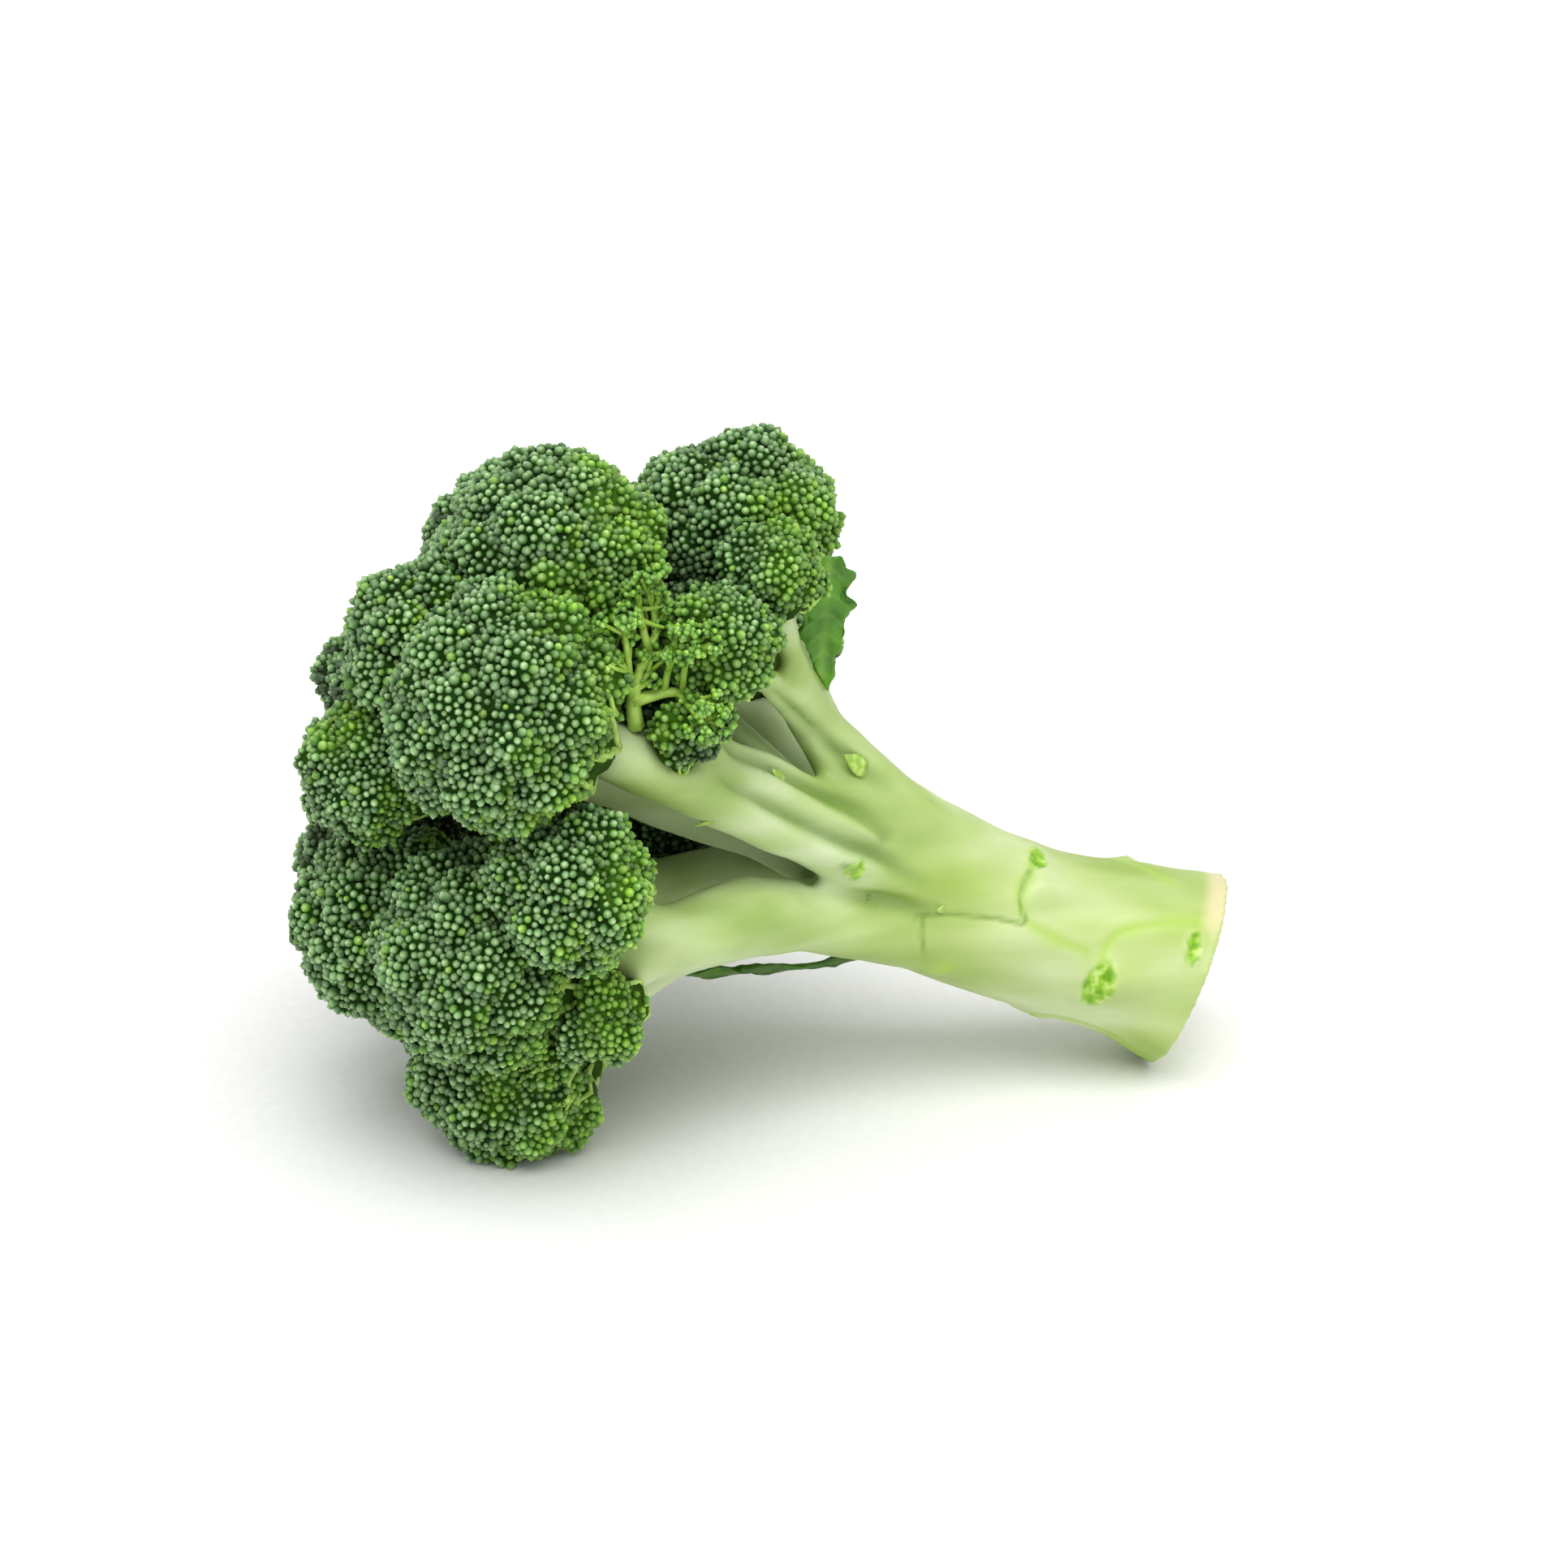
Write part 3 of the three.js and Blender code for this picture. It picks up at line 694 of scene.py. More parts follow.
class Floret:
    """One floret's bed, before its buds stand on it."""

    def __init__(self, name, seed):
        self.name = name
        self.random = np.random.default_rng(seed)
        self.solid = mesh_arrays(node_copy(name))
        low = self.solid[0].min(axis=0)
        high = self.solid[0].max(axis=0)
        self.centre = (low + high) / 2
        self.size = float(np.mean(high - low)) / 2
        self.axis = unit(self.centre - growth(0, 0, FORK_HEIGHT))
        self.tree = tree_of(*self.solid)

    def near(self, others):
        """The other florets whose solids may come near this one's."""
        return [other for other in others if other is not self
                and norm(other.centre - self.centre) - NEAR_MARGIN
                < (self.size + other.size) * SOLID_REACH]

    def relief(self, points, spacing):
        """Domes about spacing apart: 1 at their middles, 0 in the creases between them."""
        seeds = thinned(scattered(*self.solid, RELIEF_DRAWS, self.random), spacing * 0.8)
        if len(seeds) < 2:
            return np.ones(len(points))
        gaps = np.sort(norm(points[:, None, :] - seeds[None, :, :]), axis=1)
        return np.clip((gaps[:, 1] - gaps[:, 0]) / spacing * 1.6, 0, 1) ** 0.6

    def make_bed(self, others):
        """The bed: the solid's form, rounded and plumped, with its lobes and clusters swollen."""
        mesh = with_modifier(node_copy(self.name), "SMOOTH", factor=0.5, iterations=SMOOTH_ROUNDS)
        mesh = with_modifier(mesh, "SUBSURF", levels=2 if self.size > FINE_BED_SIZE else 1)
        points, triangles = mesh_arrays(mesh)
        ways = normals_of(points, triangles)
        scale = min(1.0, 0.5 + self.size / RELIEF_SIZE)
        lobes = self.relief(points, LOBE_SPACING * scale)
        clusters = self.relief(points, CLUSTER_SPACING * scale)
        swell = PLUMPNESS + LOBE_RELIEF * scale * (lobes - RELIEF_LEVEL)
        swell += CLUSTER_RELIEF * (clusters - RELIEF_LEVEL)
        swell -= DEEP_SINK * deepness(points)
        room = smoothstep(PRESSED_GAP, FREE_GAP, self.clearance(points, others))
        swell = np.where(swell > 0, swell * room, swell) - PRESSED_SINK * (1 - room)
        self.points = points + ways * swell[:, None]
        self.triangles = triangles
        self.bed_tree = tree_of(self.points, triangles)
        self.crease = np.clip(1.1 - 0.5 * lobes - 0.6 * clusters, 0, 1) ** 1.3

    def crease_at(self, places):
        """How deep each place is in a crease between lobes or clusters, 0 to 1."""
        faces = [face for _, _, face, _ in search(self.bed_tree, places)]
        return self.crease[self.triangles[faces]].mean(axis=1)

    def clearance(self, points, others):
        """How near each point is to another floret's solid."""
        gap = np.full(len(points), FAR_OFF)
        for other in self.near(others):
            found = search(other.tree, points, SEARCH_REACH)
            gap = np.minimum(gap, [FAR_OFF if hit[3] is None else hit[3] for hit in found])
        return gap

    def rise(self, points):
        """Angle of each point from the floret's axis."""
        return np.arccos(np.clip(unit(points - self.centre) @ self.axis, -1, 1))

    def openness(self, points, ways):
        """How yellow-green and loose the floret is at each point, 0 to 1."""
        patch = cloud(points, 14 * MM, 3) * 0.6 + cloud(points, 5 * MM, 5) * 0.3
        back = -(ways @ ALONG)
        fresh = smoothstep(0.1, 0.8, back + patch + 0.25 * smoothstep(1.2, 1.9, self.rise(points)))
        for centre, reach in [(OPEN_CENTRE, FRESH_REACH / MM)] + FRESH_SPOTS:
            away = norm(points - growth(*centre)) / MM + patch * reach * 0.35
            fresh = np.maximum(fresh, 1 - smoothstep(reach * 0.4, reach, away))
        return fresh * (1 - deepness(points))


def looseness(points):
    """1 in the middle of the spot where the crown is loose, 0 outside it."""
    away = norm(points - growth(*OPEN_CENTRE))
    return 1 - smoothstep(OPEN_REACH * 0.55, OPEN_REACH, away)


def deepness(points):
    """1 in the middle of a deep dark spot of the crown, 0 outside them."""
    deep = np.zeros(len(points))
    for centre, reach in DEEP_SPOTS:
        away = norm(points - growth(*centre)) / MM
        deep = np.maximum(deep, 1 - smoothstep(reach * 0.5, reach, away))
    return deep


def under_crown_shade(points, ways):
    """1 where a surface faces the head's own axis, under the crown: painted shade there."""
    spots = to_growth(points)
    radial = unit(FRONT * spots[:, :1] + UPPER * spots[:, 1:2])
    facing_in = smoothstep(0.0, 0.45, -(ways * radial).sum(axis=1))
    behind = smoothstep(5, -8, spots[:, 0])
    return 0.9 * facing_in * behind


def contact_of(floret, stalk_points):
    """The way from the floret's centre to where its twig enters, on its underside."""
    close = np.array([hit[0] is not None for hit in search(floret.tree, stalk_points, TWIG_REACH)])
    if not close.any():
        return -floret.axis
    ways = unit(stalk_points[close] - floret.centre)
    ways = ways[ways @ -floret.axis > 0.6]
    return unit(ways.sum(axis=0) - floret.axis)


def cluster_ball(parts, middle, way, random):
    """A small ball of yellow-green buds at the end of a stem."""
    offsets = unit(random.normal(0, 1, (BALL_BUDS, 3)) + way * 0.7)
    sizes = random.uniform(0.6, 0.85, BALL_BUDS) * MM
    tones = random.uniform(0.55, 1.0, BALL_BUDS)
    places = middle + offsets * BALL_RADIUS
    add_buds(parts, places, offsets, sizes, tones, np.zeros(BALL_BUDS), random)


def add_twigs(parts, start, way, count, random):
    """Short twigs that fan out from a stem, each with its ball of buds."""
    for _ in range(count):
        lean = unit(way + FRONT * 0.3 + random.normal(0, 0.5, 3))
        length = random.uniform(*SPRAY_LENGTHS) * MM
        shares = np.linspace(0, 1, 4)
        path = start + lean * (length * shares)[:, None] + way * (0.8 * MM * shares ** 2)[:, None]
        points, triangles = tube(path, np.linspace(*SPRAY_RADII, 4) * MM, 5)
        parts.add(points, triangles, STEM_SLOT, tone=1.0)
        cluster_ball(parts, path[-1], lean, random)


def stem_path(line):
    """A rounded path and its radii, from growth coordinates and radii."""
    path = rounded(np.array([(*growth(x, y, z), radius * MM) for x, y, z, radius in line]), 2)
    return path[:, :3], path[:, 3]


def add_spray(parts, random):
    """The stems that stand loose in the open spot, forked again and again."""
    for line in SPRAY:
        path, radii = stem_path(line)
        points, triangles = tube(path, radii, 7)
        parts.add(points, triangles, STEM_SLOT, tone=0.85)
        way = unit(path[-1] - path[-4])
        add_twigs(parts, path[-1], way, SPRAY_TWIGS, random)
        for share in SPRAY_SHARES:
            add_twigs(parts, path[int(share * len(path))], way, 1, random)


def fan_stems(parts, floret, pole, others):
    """The fine stems that fan out from the twig's end over the floret's underside."""
    random = floret.random
    side = unit(np.cross(pole, np.array([0.2, 0.9, 0.3])))
    other = np.cross(pole, side)
    scale = floret.size / TYPICAL_SIZE

    def place(angle, turn, lift):
        """The bed's skin at an angle off the pole and a turn about it, or None."""
        across = side * cos(turn) + other * sin(turn)
        way = pole * cos(angle) + across * sin(angle)
        hit = floret.bed_tree.ray_cast(Vector(floret.centre), Vector(way))[0]
        return None if hit is None else np.array(hit) + way * lift

    stems = []
    count = max(FAN_LEAST, int(FAN_COUNT * scale))
    for index in range(count):
        turn = 2 * pi * (index + random.uniform(-0.25, 0.25)) / count
        stems.append((turn, turn + random.uniform(-0.12, 0.12), 0.0, FAN_STEM))
        for branch in (-1, 1):
            end = turn + branch * random.uniform(0.5, 0.9) * pi / count
            stems.append((turn, end, 0.0, FAN_BRANCH))
            for fork in (-1, 0, 1):
                last = end + fork * random.uniform(0.25, 0.45) * pi / count
                stems.append((end, last, random.uniform(-0.1, 0.1), FAN_FORK))
    for start, end, longer, (low, high, thick, thin) in stems:
        path = []
        for share in np.linspace(0, 1, 4):
            bulge = sin(share * pi) * random.uniform(-0.2, 0.5)
            angle = low + (high + longer - low) * share
            turn = start + (end - start) * share
            path.append(place(angle, turn, (0.15 + bulge) * MM))
        if any(spot is None for spot in path):
            continue
        path = np.array(path)
        if floret.clearance(path, others).min() < FAN_GAP:
            continue
        radii = np.linspace(thick, thin, 4) * MM * min(1.0, 0.6 + 0.4 * scale)
        points, triangles = tube(path, radii, 5)
        # Painted shade on the stems that face in under the crown.
        painted_shade = under_crown_shade(points, unit(points - floret.centre))
        parts.add(points, triangles, STEM_SLOT, tone=min(1.0, low / 1.1), inner=painted_shade)


def add_bed(parts, floret):
    """The floret's bed, greener beyond the buds' limit, with painted shade where it faces inward
    and on its underside.
    """
    ways = normals_of(floret.points, floret.triangles)
    rise = floret.rise(floret.points)
    tone = floret.openness(floret.points, ways)
    tone = np.maximum(tone, smoothstep(BUD_LIMIT, BUD_LIMIT + 0.3, rise) * 0.6)
    # Painted shade on the underside, past the buds' limit.
    under = 0.6 * smoothstep(BUD_LIMIT - 0.2, BUD_LIMIT + 0.1, rise)
    painted_shade = np.maximum(under_crown_shade(floret.points, ways), under)
    parts.add(floret.points, floret.triangles, BED_SLOT, tone=tone * 0.45, inner=painted_shade)


def bud_places(floret, florets, stalk_tree, spacing):
    """Where the floret's buds stand, and the ways they point."""
    random = floret.random
    draws = int(BUD_DRAWS * (floret.size / TYPICAL_SIZE) ** 2)
    places = scattered(floret.points, floret.triangles, draws, random)
    places = evened(thinned(places, spacing * BUD_APART), floret.bed_tree, spacing, 2)
    places, ways = nearest(floret.bed_tree, places)
    ways = unit(ways + unit(places - floret.centre) * BUD_SPREAD)
    keep = floret.rise(places) < BUD_LIMIT + cloud(places, 7 * MM, 9) * BUD_RAGGEDNESS
    keep &= floret.clearance(places, florets) > BUD_GAP
    keep &= np.array([hit[0] is None for hit in search(stalk_tree, places, STALK_GAP)])
    keep &= random.random(len(places)) > LOOSE_SHARE * looseness(places)
    return places[keep], ways[keep]


def make_floret(floret, florets, stalk_tree, stalk_points):
    """A floret's piece: its bed, its buds and the fine stems under them."""
    random = floret.random
    parts = Parts()
    add_bed(parts, floret)

    spacing = BUD_SPACING * (0.9 + 0.1 * smoothstep(SMALL_SIZE, LARGE_SIZE, floret.size))
    places, ways = bud_places(floret, florets, stalk_tree, spacing)
    tones = floret.openness(places, ways) * random.uniform(0.6, 1.15, len(places))
    tones = np.maximum(tones, STRAY_TONE * (random.random(len(places)) < STRAY_SHARE))
    clump = cloud(places, CLUMP_SIZE, 13)
    widths = random.normal(BUD_WIDTH, BUD_WIDTH_SPREAD, len(places)) + CLUMP_SWELL * clump
    sizes = spacing * 0.5 * widths.clip(*BUD_WIDTHS)
    lift = random.normal(0.0, BUD_UNEVENNESS, len(places)) + CLUMP_LIFT * clump
    # Painted shade: buds in the creases between lobes and clusters, in the deep spots and facing
    # in under the crown are darkened.
    painted_shade = np.maximum(under_crown_shade(places, ways), 0.75 * floret.crease_at(places))
    painted_shade = np.maximum(painted_shade, 0.6 * deepness(places))
    add_buds(parts, places + ways * lift[:, None], ways, sizes, np.clip(tones, 0, 1), painted_shade, random)

    fan_stems(parts, floret, contact_of(floret, stalk_points), florets)
    if floret.name == SPRAY_FLORET:
        add_spray(parts, random)
    piece = parts.make(floret.name + "_buds", [BED, BUD, STEM])
    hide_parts(floret.name)
    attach(piece, "root")


# Lines as points on the stalk: the height and the turn about the stalk of each. A crease
# is a thin dark groove, a glow the lime margin of a leaf base that was broken off.
CREASES = [
    [(69.5, 97), (64.8, 88), (57.9, 83), (51.7, 79), (46.7, 78)],
    [(67.8, 93), (67.3, 107), (64.2, 119), (62, 141)],
    [(47.4, 37), (49.1, 53), (48.7, 67), (46.4, 76)],
    [(44, -80), (44, -100), (36, -118)],
    [(62, -150), (60, -172), (50, 176)],
]
GLOWS = [
    [(44.9, 13), (47.4, 37), (49.1, 53), (48.7, 67), (46.4, 76), (39, 81), (31.4, 83)],
    [(26, 100), (28.7, 72), (22.2, 57), (14.4, 48), (7.8, 43)],
    [(32.9, 169), (28.7, 148), (21.2, 146), (12, 150), (4, 154)],
    [(62, 141), (58, 125)],
    [(14.6, 15), (18, 4), (24, -12)],
    [(40, -60), (44, -80), (44, -100), (36, -118), (22, -124)],
    [(18, -15), (24, -35), (22, -58), (12, -66)],
    [(58, -130), (62, -150), (60, -172), (50, 176)],
]
# Valleys where one bough lies against another, and the crest of the bough between them:
# growth coordinates, and how deep or high there, in mm.
VALLEYS = [
    [(36, 20, 127, 0.4), (31.9, 17.5, 118, 2.6), (26.4, 13.6, 105, 2.8), (22.1, 10.3, 92, 2.8),
     (18.5, 9.5, 82, 2.6), (18.2, 6.3, 75, 1.8), (17.5, 4.3, 68, 0)],
    [(31, 27, 130, 0.4), (27.6, 24.4, 124, 2.4), (22.7, 20.9, 112, 2.8), (20.0, 18.6, 101, 2.8),
     (17.9, 16.4, 90, 2.4), (17, 12.5, 82.5, 1.6)],
    [(14.8, -1.9, 93, 2.6), (16.8, -0.7, 83, 2.4), (17.3, 0.0, 74, 2.0), (17.0, -0.8, 67.5, 1.0)],
    [(26, 38, 122, 0), (21, 32.9, 114, 2), (14.7, 26.8, 102, 2.4), (15.2, 24, 91, 1.6),
     (14, 20, 78, 0)],
]
CRESTS = [
    [(27, 21, 121, 0), (25, 20.5, 116, 1.4), (21.5, 16.5, 103, 1.4), (20, 14, 93, 1.5),
     (18.5, 12.6, 86, 1.2)],
]
VALLEY_WIDTH = 2.0
CREST_WIDTH = 3.2
# How wide and deep the creases' grooves are, and the low banks beside the leaf bases, in mm.
GROOVE_WIDTH = 0.55
GROOVE_DEPTH = 0.4
BANK_AWAY = 1.6
BANK_WIDTH = 1.3
BANK_HEIGHT = 0.16
# Painted shade: valleys this deep are darkened as hollows in full.
DEEP_VALLEY = 2.6  # as deep as that, it is coloured as a hollow in full
# A thin side stem between two boughs: growth coordinates and radius.
SIDE_STEM = [
    (8, 13.7, 100.5, 3.6), (9, 16.4, 106.5, 3.5), (8, 21.1, 117.1, 3.3), (6, 23.5, 122.3, 3.0),
]
# Torn or cut spots: height, turn, half their length along the stalk and across it, in mm.
SPOTS = [
    (26.4, 102, 3.2, 5.6), (45.6, 25, 2.2, 3.6), (9.0, 61, 1.6, 4.0), (87.0, 76, 1.8, 2.6),
    (32.0, 172, 4.0, 2.0), (21, -44, 3.0, 5.0), (43, -96, 2.2, 4.2),
]
# Small scales: foot in growth coordinates, length in mm.
BRACTS = [
    ((21.3, 5.3, 86), 5.5), ((15.3, 25, 91), 7), ((22.7, 19.6, 109), 5), ((25.5, 18.4, 112), 4.5),
    ((33, 9, 122), 5), ((35, -10.2, 128), 6), ((9.2, 20.6, 71), 3.5), ((17, 1.5, 64), 3),
]
BRACT_OUTLINE = np.array([0.3, 0.32, 0.3, 0.23, 0.13, 0.03])  # half widths, of the length
BRACT_FLATNESS = 0.72
BRACT_SEED = 5
STALK_VOXEL = 1.0 * MM
STALK_REACH = 60 * MM  # how far from the growth axis its skin is looked for
STALK_RADIUS = 18 * MM
FILL_STEPS = 16  # smoothing that only fills the joints of the boughs
SMOOTH_STEPS = 28  # and smoothing in all
CUT_MARGIN = (0.6 * MM, 2.5 * MM)  # smoothing fades out between these distances from the cut
CUT_FACE = (0.1 * MM, 0.7 * MM)  # and the cut's own colour between these
CUT_RADIUS = 22
HOLLOW_DEPTHS = (0.012 * MM, 0.07 * MM)


def surface_point(tree, height, turn):
    """The stalk's skin at a height and a turn about it."""
    angle = radians(turn)
    start = growth(0, 0, height)
    way = FRONT * sin(angle) + UPPER * cos(angle)
    hit = tree.ray_cast(Vector(start), Vector(way), STALK_REACH)[0]
    return np.array(hit) if hit else start + way * STALK_RADIUS


def rounded(line, rounds=3):
    """The line with its corners cut, again and again."""
    for _ in range(rounds):
        first = line[:-1] * 0.75 + line[1:] * 0.25
        last = line[:-1] * 0.25 + line[1:] * 0.75
        inner = np.stack([first, last], axis=1).reshape(-1, line.shape[1])
        line = np.concatenate([line[:1], inner[1:-1], line[-1:]])
    return line


def along_segment(points, start, end):
    """How far along a straight line each point lies, 0 to 1, and its distance from it."""
    span = end - start
    share = np.clip((points - start) @ span / max(span @ span, 1e-12), 0, 1)
    return share, norm(points - start - share[:, None] * span)


def line_distance(points, skin, lines):
    """Each point's distance in mm to the nearest of the lines drawn on the skin."""
    best = np.full(len(points), FAR_OFF)
    for line in lines:
        path = rounded(np.array([surface_point(skin, *spot) for spot in line]))
        for start, end in zip(path[:-1], path[1:]):
            best = np.minimum(best, along_segment(points, start, end)[1])
    return best / MM


def height_along(points, lines, width):
    """The greatest height at each point of ridges that follow the lines."""
    best = np.zeros(len(points))
    for line in lines:
        path = rounded(np.array([(*growth(x, y, z) / MM, height) for x, y, z, height in line]), 2)
        for start, end in zip(path[:-1], path[1:]):
            share, away = along_segment(points / MM, start[:3], end[:3])
            height = start[3] + (end[3] - start[3]) * share
            best = np.maximum(best, height * bell(away, 0, width))
    return best


def knife_distance(points):
    """How far each point is up the stalk from the plane of the cut."""
    x, _, z = to_growth(points).T
    return (z - x * tan(CUT_SLANT)) * cos(CUT_SLANT) * MM


def near_spot(points, skin, height, turn, half_length, half_width):
    """How far each point is from a spot's middle: 1 at its edge."""
    middle = surface_point(skin, height, turn)
    offset = (points - middle) / MM
    along = offset @ ALONG
    across = np.sqrt(np.maximum((offset ** 2).sum(axis=1) - along ** 2, 0))
    return np.hypot(along / half_length, across / half_width)


def add_bract(parts, skin, foot, length, random):
    """A small pointed scale that stands off the skin, towards the crown."""
    (place,), (way,) = nearest(skin, [growth(*foot)])
    lean = unit(ALONG * 0.9 + way * 0.45 + random.normal(0, 0.12, 3))
    shares = np.linspace(0, 1, 6)
    path = place - way * 0.9 * MM + lean * (length * MM * shares)[:, None]
    path += way * (0.8 * MM * shares ** 2)[:, None]
    points, triangles = tube(path, BRACT_OUTLINE * length * MM, 8)
    inward = unit(way - lean * (way @ lean))
    depth = (points - place) @ inward
    line = path - place
    centre_line = np.interp((points - place) @ lean, line @ lean, line @ inward)
    points -= inward * ((depth - centre_line) * BRACT_FLATNESS)[:, None]
    parts.add(points, triangles, SKIN_SLOT, tone=1.0, scar=0.7, glow=0.6)


def filleted(points, triangles, edges, free):
    """The skin with the joints of its boughs filled and rounded, where it is free to move."""
    for step in range(SMOOTH_STEPS):
        ways = normals_of(points, triangles)
        move = neighbour_mean(points, edges) - points
        if step < FILL_STEPS:
            rise = (move * ways).sum(axis=1)[:, None]
            move = np.maximum(rise, 0) * ways + (move - rise * ways) * 0.3
        points = points + move * 0.6 * free
    return points


def torn_spots(points, skin):
    """How torn each point is, 0 to 1, and how high the torn rims stand there, in mm."""
    scar = np.zeros(len(points))
    raised = np.zeros(len(points))
    for spot in SPOTS:
        away = near_spot(points, skin, *spot)
        scar = np.maximum(scar, 1 - smoothstep(0.8, 1.1, away))
        raised = np.maximum(raised, bell(away, 1.05, 0.3) * 0.5 - (away < 0.75) * 0.3)
    return scar, raised


def hollowness(points, edges, ways):
    """1 where the skin is hollow, as between two boughs, 0 where it is flat or full: where shade
    is painted.
    """
    depth = ((neighbour_mean(points, edges) - points) * ways).sum(axis=1)[:, None]
    for _ in range(6):
        depth = neighbour_mean(depth, edges)
    return smoothstep(*HOLLOW_DEPTHS, depth[:, 0])


def make_stalk():
    """The stalk and its boughs, their joints rounded, with seams and scars in the skin.
    Returns the skin to search."""
    mesh = with_modifier(node_copy("stalk"), "REMESH", mode="VOXEL", voxel_size=STALK_VOXEL)
    points, triangles = mesh_arrays(mesh)
    edges = edges_of(triangles)
    free = smoothstep(*CUT_MARGIN, knife_distance(points))[:, None]
    points = filleted(points, triangles, edges, free)
    skin = tree_of(points, triangles)
    ways = normals_of(points, triangles)
    spots = to_growth(points)
    creases = line_distance(points, skin, CREASES)
    glows = line_distance(points, skin, GLOWS)
    scar, raised = torn_spots(points, skin)
    hollow = hollowness(points, edges, ways)
    groove = bell(creases, 0, GROOVE_WIDTH) * GROOVE_DEPTH
    ridge = bell(glows, BANK_AWAY, BANK_WIDTH) * BANK_HEIGHT - bell(glows, 0, 1.0) * 0.14
    swell = cloud(points * np.array([0.5, 1, 1]), 9 * MM, 11) * 0.35
    valley = height_along(points, VALLEYS, VALLEY_WIDTH)
    # The valleys' depth adds to the painted shade of the hollows.
    hollow = np.maximum(hollow, np.clip(valley / DEEP_VALLEY, 0, 1))
    swell += height_along(points, CRESTS, CREST_WIDTH) - valley
    points = points + ways * ((ridge - groove + swell + raised) * MM)[:, None] * free

    up_cut = knife_distance(points)
    tone = smoothstep(52, 92, spots[:, 2] + 8 * cloud(points, 20 * MM, 2))
    cut = 1 - smoothstep(*CUT_FACE, up_cut)
    # The dried strip of rind at the upper rim of the cut.
    turn = np.arctan2(spots[:, 0], spots[:, 1])
    dry = 1 - smoothstep(2.5, 6.0, up_cut / MM)
    dry *= (1 - smoothstep(0.35, 0.7, np.abs(turn - 0.3))) * (1 - cut) * 0.9
    glow_width = 1.8 * (0.75 + 0.5 * cloud(points, 6 * MM, 21))
    off_axis = np.hypot(spots[:, 0], spots[:, 1])
    parts = Parts()
    parts.add(points, triangles, SKIN_SLOT, tone=tone, crease=bell(creases, 0, 0.6),
              glow=np.clip(bell(glows, 0, glow_width), 0, 1), hollow=hollow * (1 - cut),
              scar=scar, cut=cut, pith=np.clip(off_axis / CUT_RADIUS, 0, 1), dry=dry)
    random = np.random.default_rng(BRACT_SEED)
    for foot, length in BRACTS:
        add_bract(parts, skin, foot, length, random)
    stem_points, stem_triangles = tube(*stem_path(SIDE_STEM), 16)
    # The side stem between two boughs takes half the hollows' painted shade.
    parts.add(stem_points, stem_triangles, SKIN_SLOT, tone=1.0, hollow=0.5)
    piece = parts.make("stalk_skin", [STALK])
    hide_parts("stalk")
    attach(piece, "root")
    return tree_of(points, triangles)


# The leaves: widths and heights in mm, and how often the veins come.
RIB_WIDTH = 0.9
VEIN_PITCH = 40
VEIN_SLANT = 1.2
EDGE = (1.5, 4.5)  # how far from the midrib the blade begins to ruffle, and ruffles in full
RUFFLE = 1.3
RIPPLE = 0.35
TEETH = 1.5


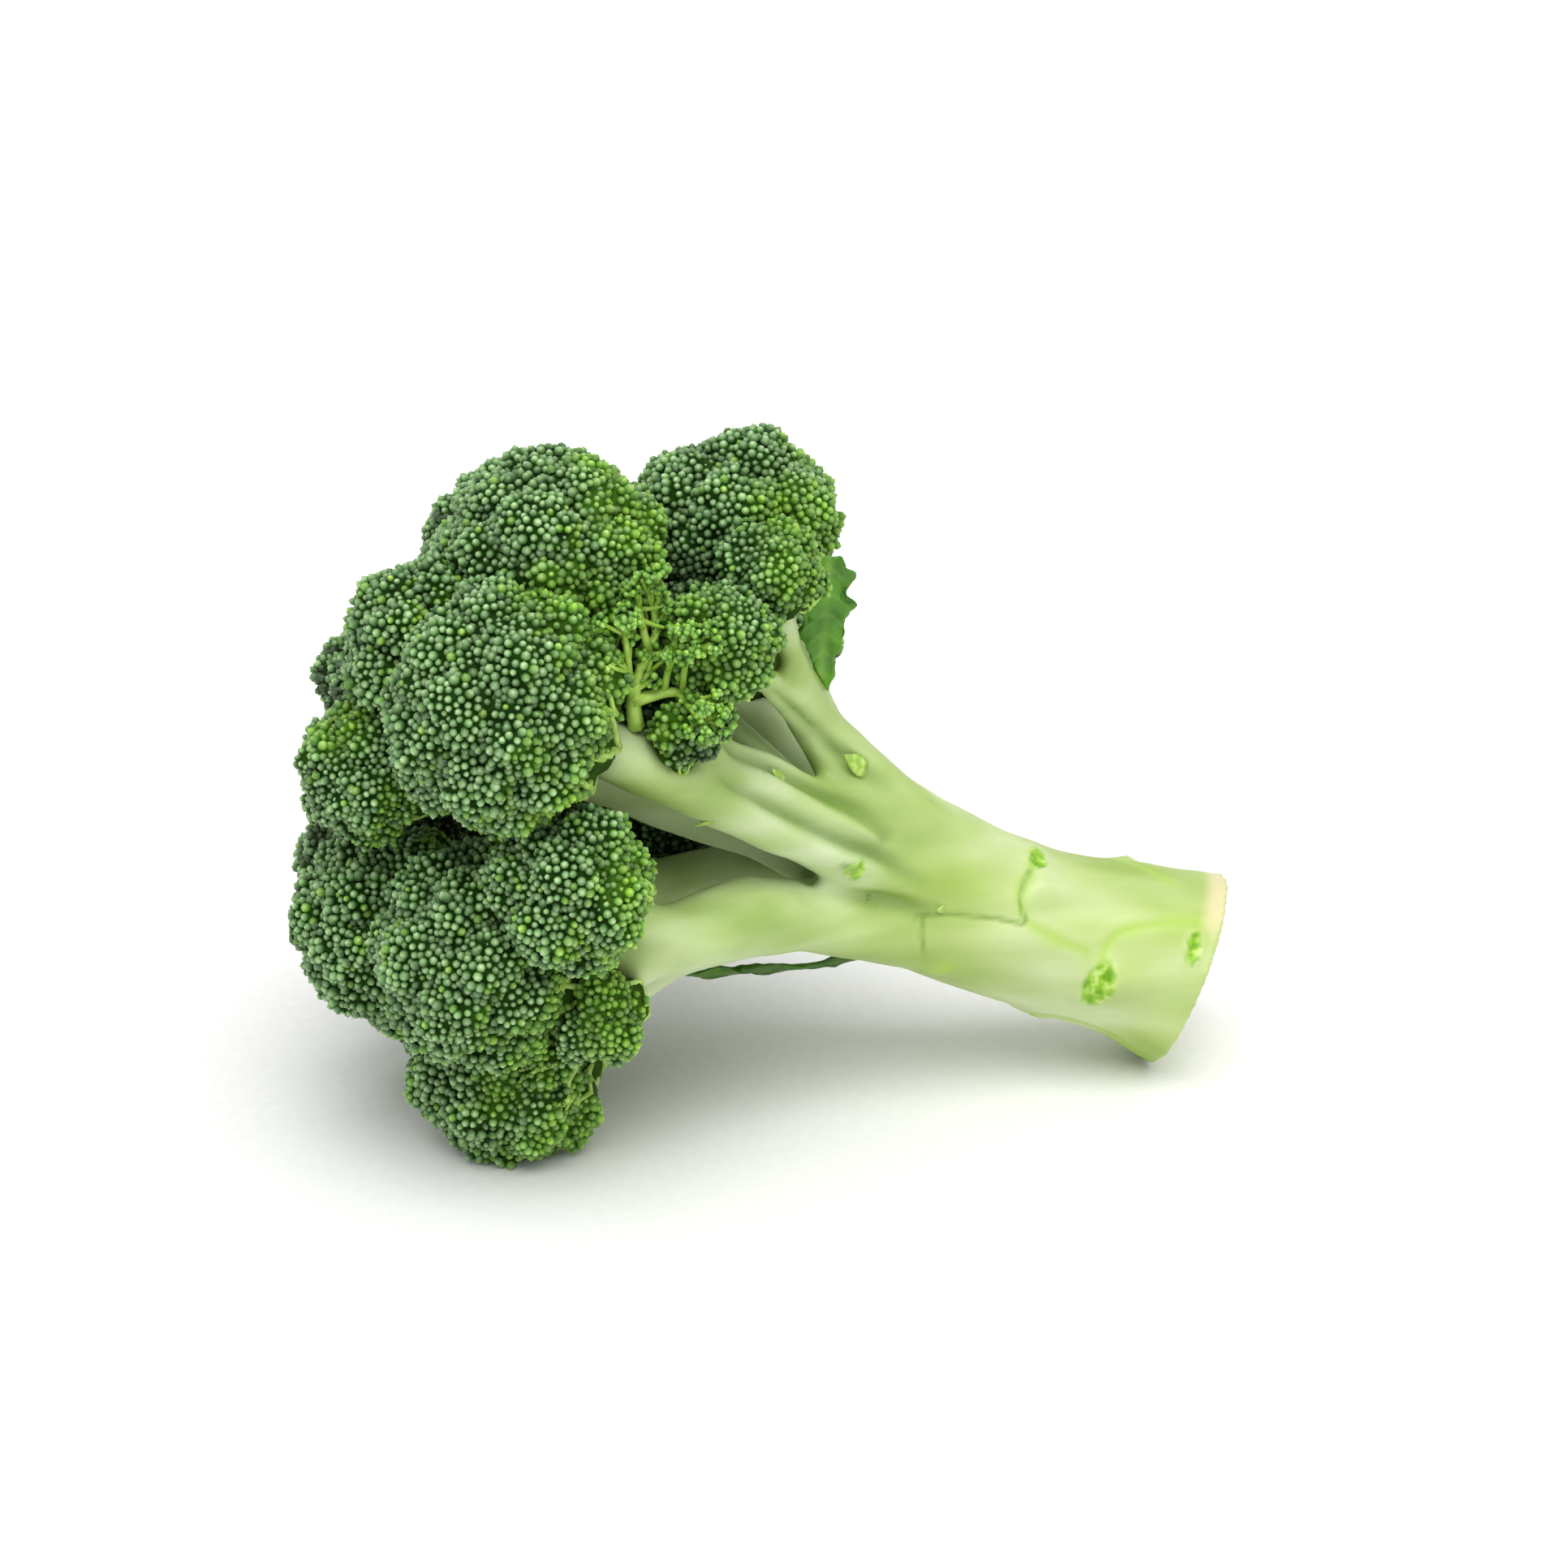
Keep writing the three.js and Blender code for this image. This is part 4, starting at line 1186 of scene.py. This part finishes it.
def make_leaf(name, deep):
    """A leaf: its solid's blade made finer, with ribs and a ruffled edge."""
    mesh = with_modifier(node_copy(name), "SUBSURF", levels=2)
    points, triangles = mesh_arrays(mesh)
    ways = normals_of(points, triangles)
    spread = points - points.mean(axis=0)
    long_way = unit(np.linalg.svd(spread, full_matrices=False)[2][0])
    along = spread @ long_way
    share = (along - along.min()) / (along.max() - along.min())
    across = spread - along[:, None] * long_way
    width = norm(across) / MM
    rib = bell(width, 0, RIB_WIDTH)
    veins = 0.5 * np.clip(np.cos(share * VEIN_PITCH + width * VEIN_SLANT), 0, 1) ** 6
    edge = smoothstep(*EDGE, width)
    ruffle = cloud(points, 5 * MM, 4) * RUFFLE * edge + cloud(points, 2.2 * MM, 6) * RIPPLE
    teeth = cloud(points, 2.4 * MM, 8) * TEETH * edge
    points = points + (ways * ruffle[:, None] + unit(across) * teeth[:, None]) * MM
    parts = Parts()
    parts.add(points, triangles, SKIN_SLOT, rib=np.clip(rib + veins, 0, 1), deep=deep)
    piece = parts.make(name + "_blade", [LEAF])
    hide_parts(name)
    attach(piece, "root")


stalk_tree = make_stalk()
raw_stalk = mesh_arrays(node_copy("stalk"))[0]
floret_names = sorted(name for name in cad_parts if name.startswith("floret_"))
florets = [Floret(name, seed) for seed, name in enumerate(floret_names, start=1)]
for floret in florets:
    floret.make_bed(florets)
for floret in florets:
    make_floret(floret, florets, stalk_tree, raw_stalk)
make_leaf("side_leaf", 0.0)
make_leaf("under_leaf", 0.4)


# Stage.
def make_floor():
    """The table."""
    mesh = bpy.data.meshes.new("table")
    signs = [(-1, -1), (1, -1), (1, 1), (-1, 1)]
    corners = [(TABLE_HALF * x, TABLE_HALF * y, 0) for x, y in signs]
    mesh.from_pydata(corners, [], [(0, 1, 2, 3)])
    mesh.materials.append(floor_material())
    floor = placed("table", mesh)
    floor.location.z = -TABLE_DROP


def make_key():
    """A far soft lamp."""
    lamp = bpy.data.lights.new("key", "SUN")
    lamp.energy = KEY_STRENGTH
    lamp.angle = radians(KEY_ANGLE)
    placed("key", lamp).rotation_euler = Vector(KEY_WAY).to_track_quat("-Z", "Y").to_euler()


def make_camera():
    """The camera, at the photo's angle."""
    back = np.array([sin(CAMERA_AZIMUTH) * cos(CAMERA_ELEVATION),
                     -cos(CAMERA_AZIMUTH) * cos(CAMERA_ELEVATION),
                     sin(CAMERA_ELEVATION)])
    lens = bpy.data.cameras.new("camera")
    lens.lens = CAMERA_LENS
    lens.sensor_width = CAMERA_SENSOR
    camera = placed("camera", lens)
    camera.location = CAMERA_TARGET + back * CAMERA_DISTANCE
    camera.rotation_euler = Vector(-back).to_track_quat("-Z", "Y").to_euler()
    bpy.context.scene.camera = camera


def make_sky():
    """Even white light from all round."""
    world = bpy.data.worlds.new("studio")
    world.use_nodes = True
    tree = world.node_tree
    put(tree, tree.nodes["Background"], Color=(1, 1, 1, 1), Strength=SKY_STRENGTH)
    bpy.context.scene.world = world


make_floor()
make_camera()
make_sky()
make_key()
bpy.context.scene.view_settings.view_transform = "Standard"
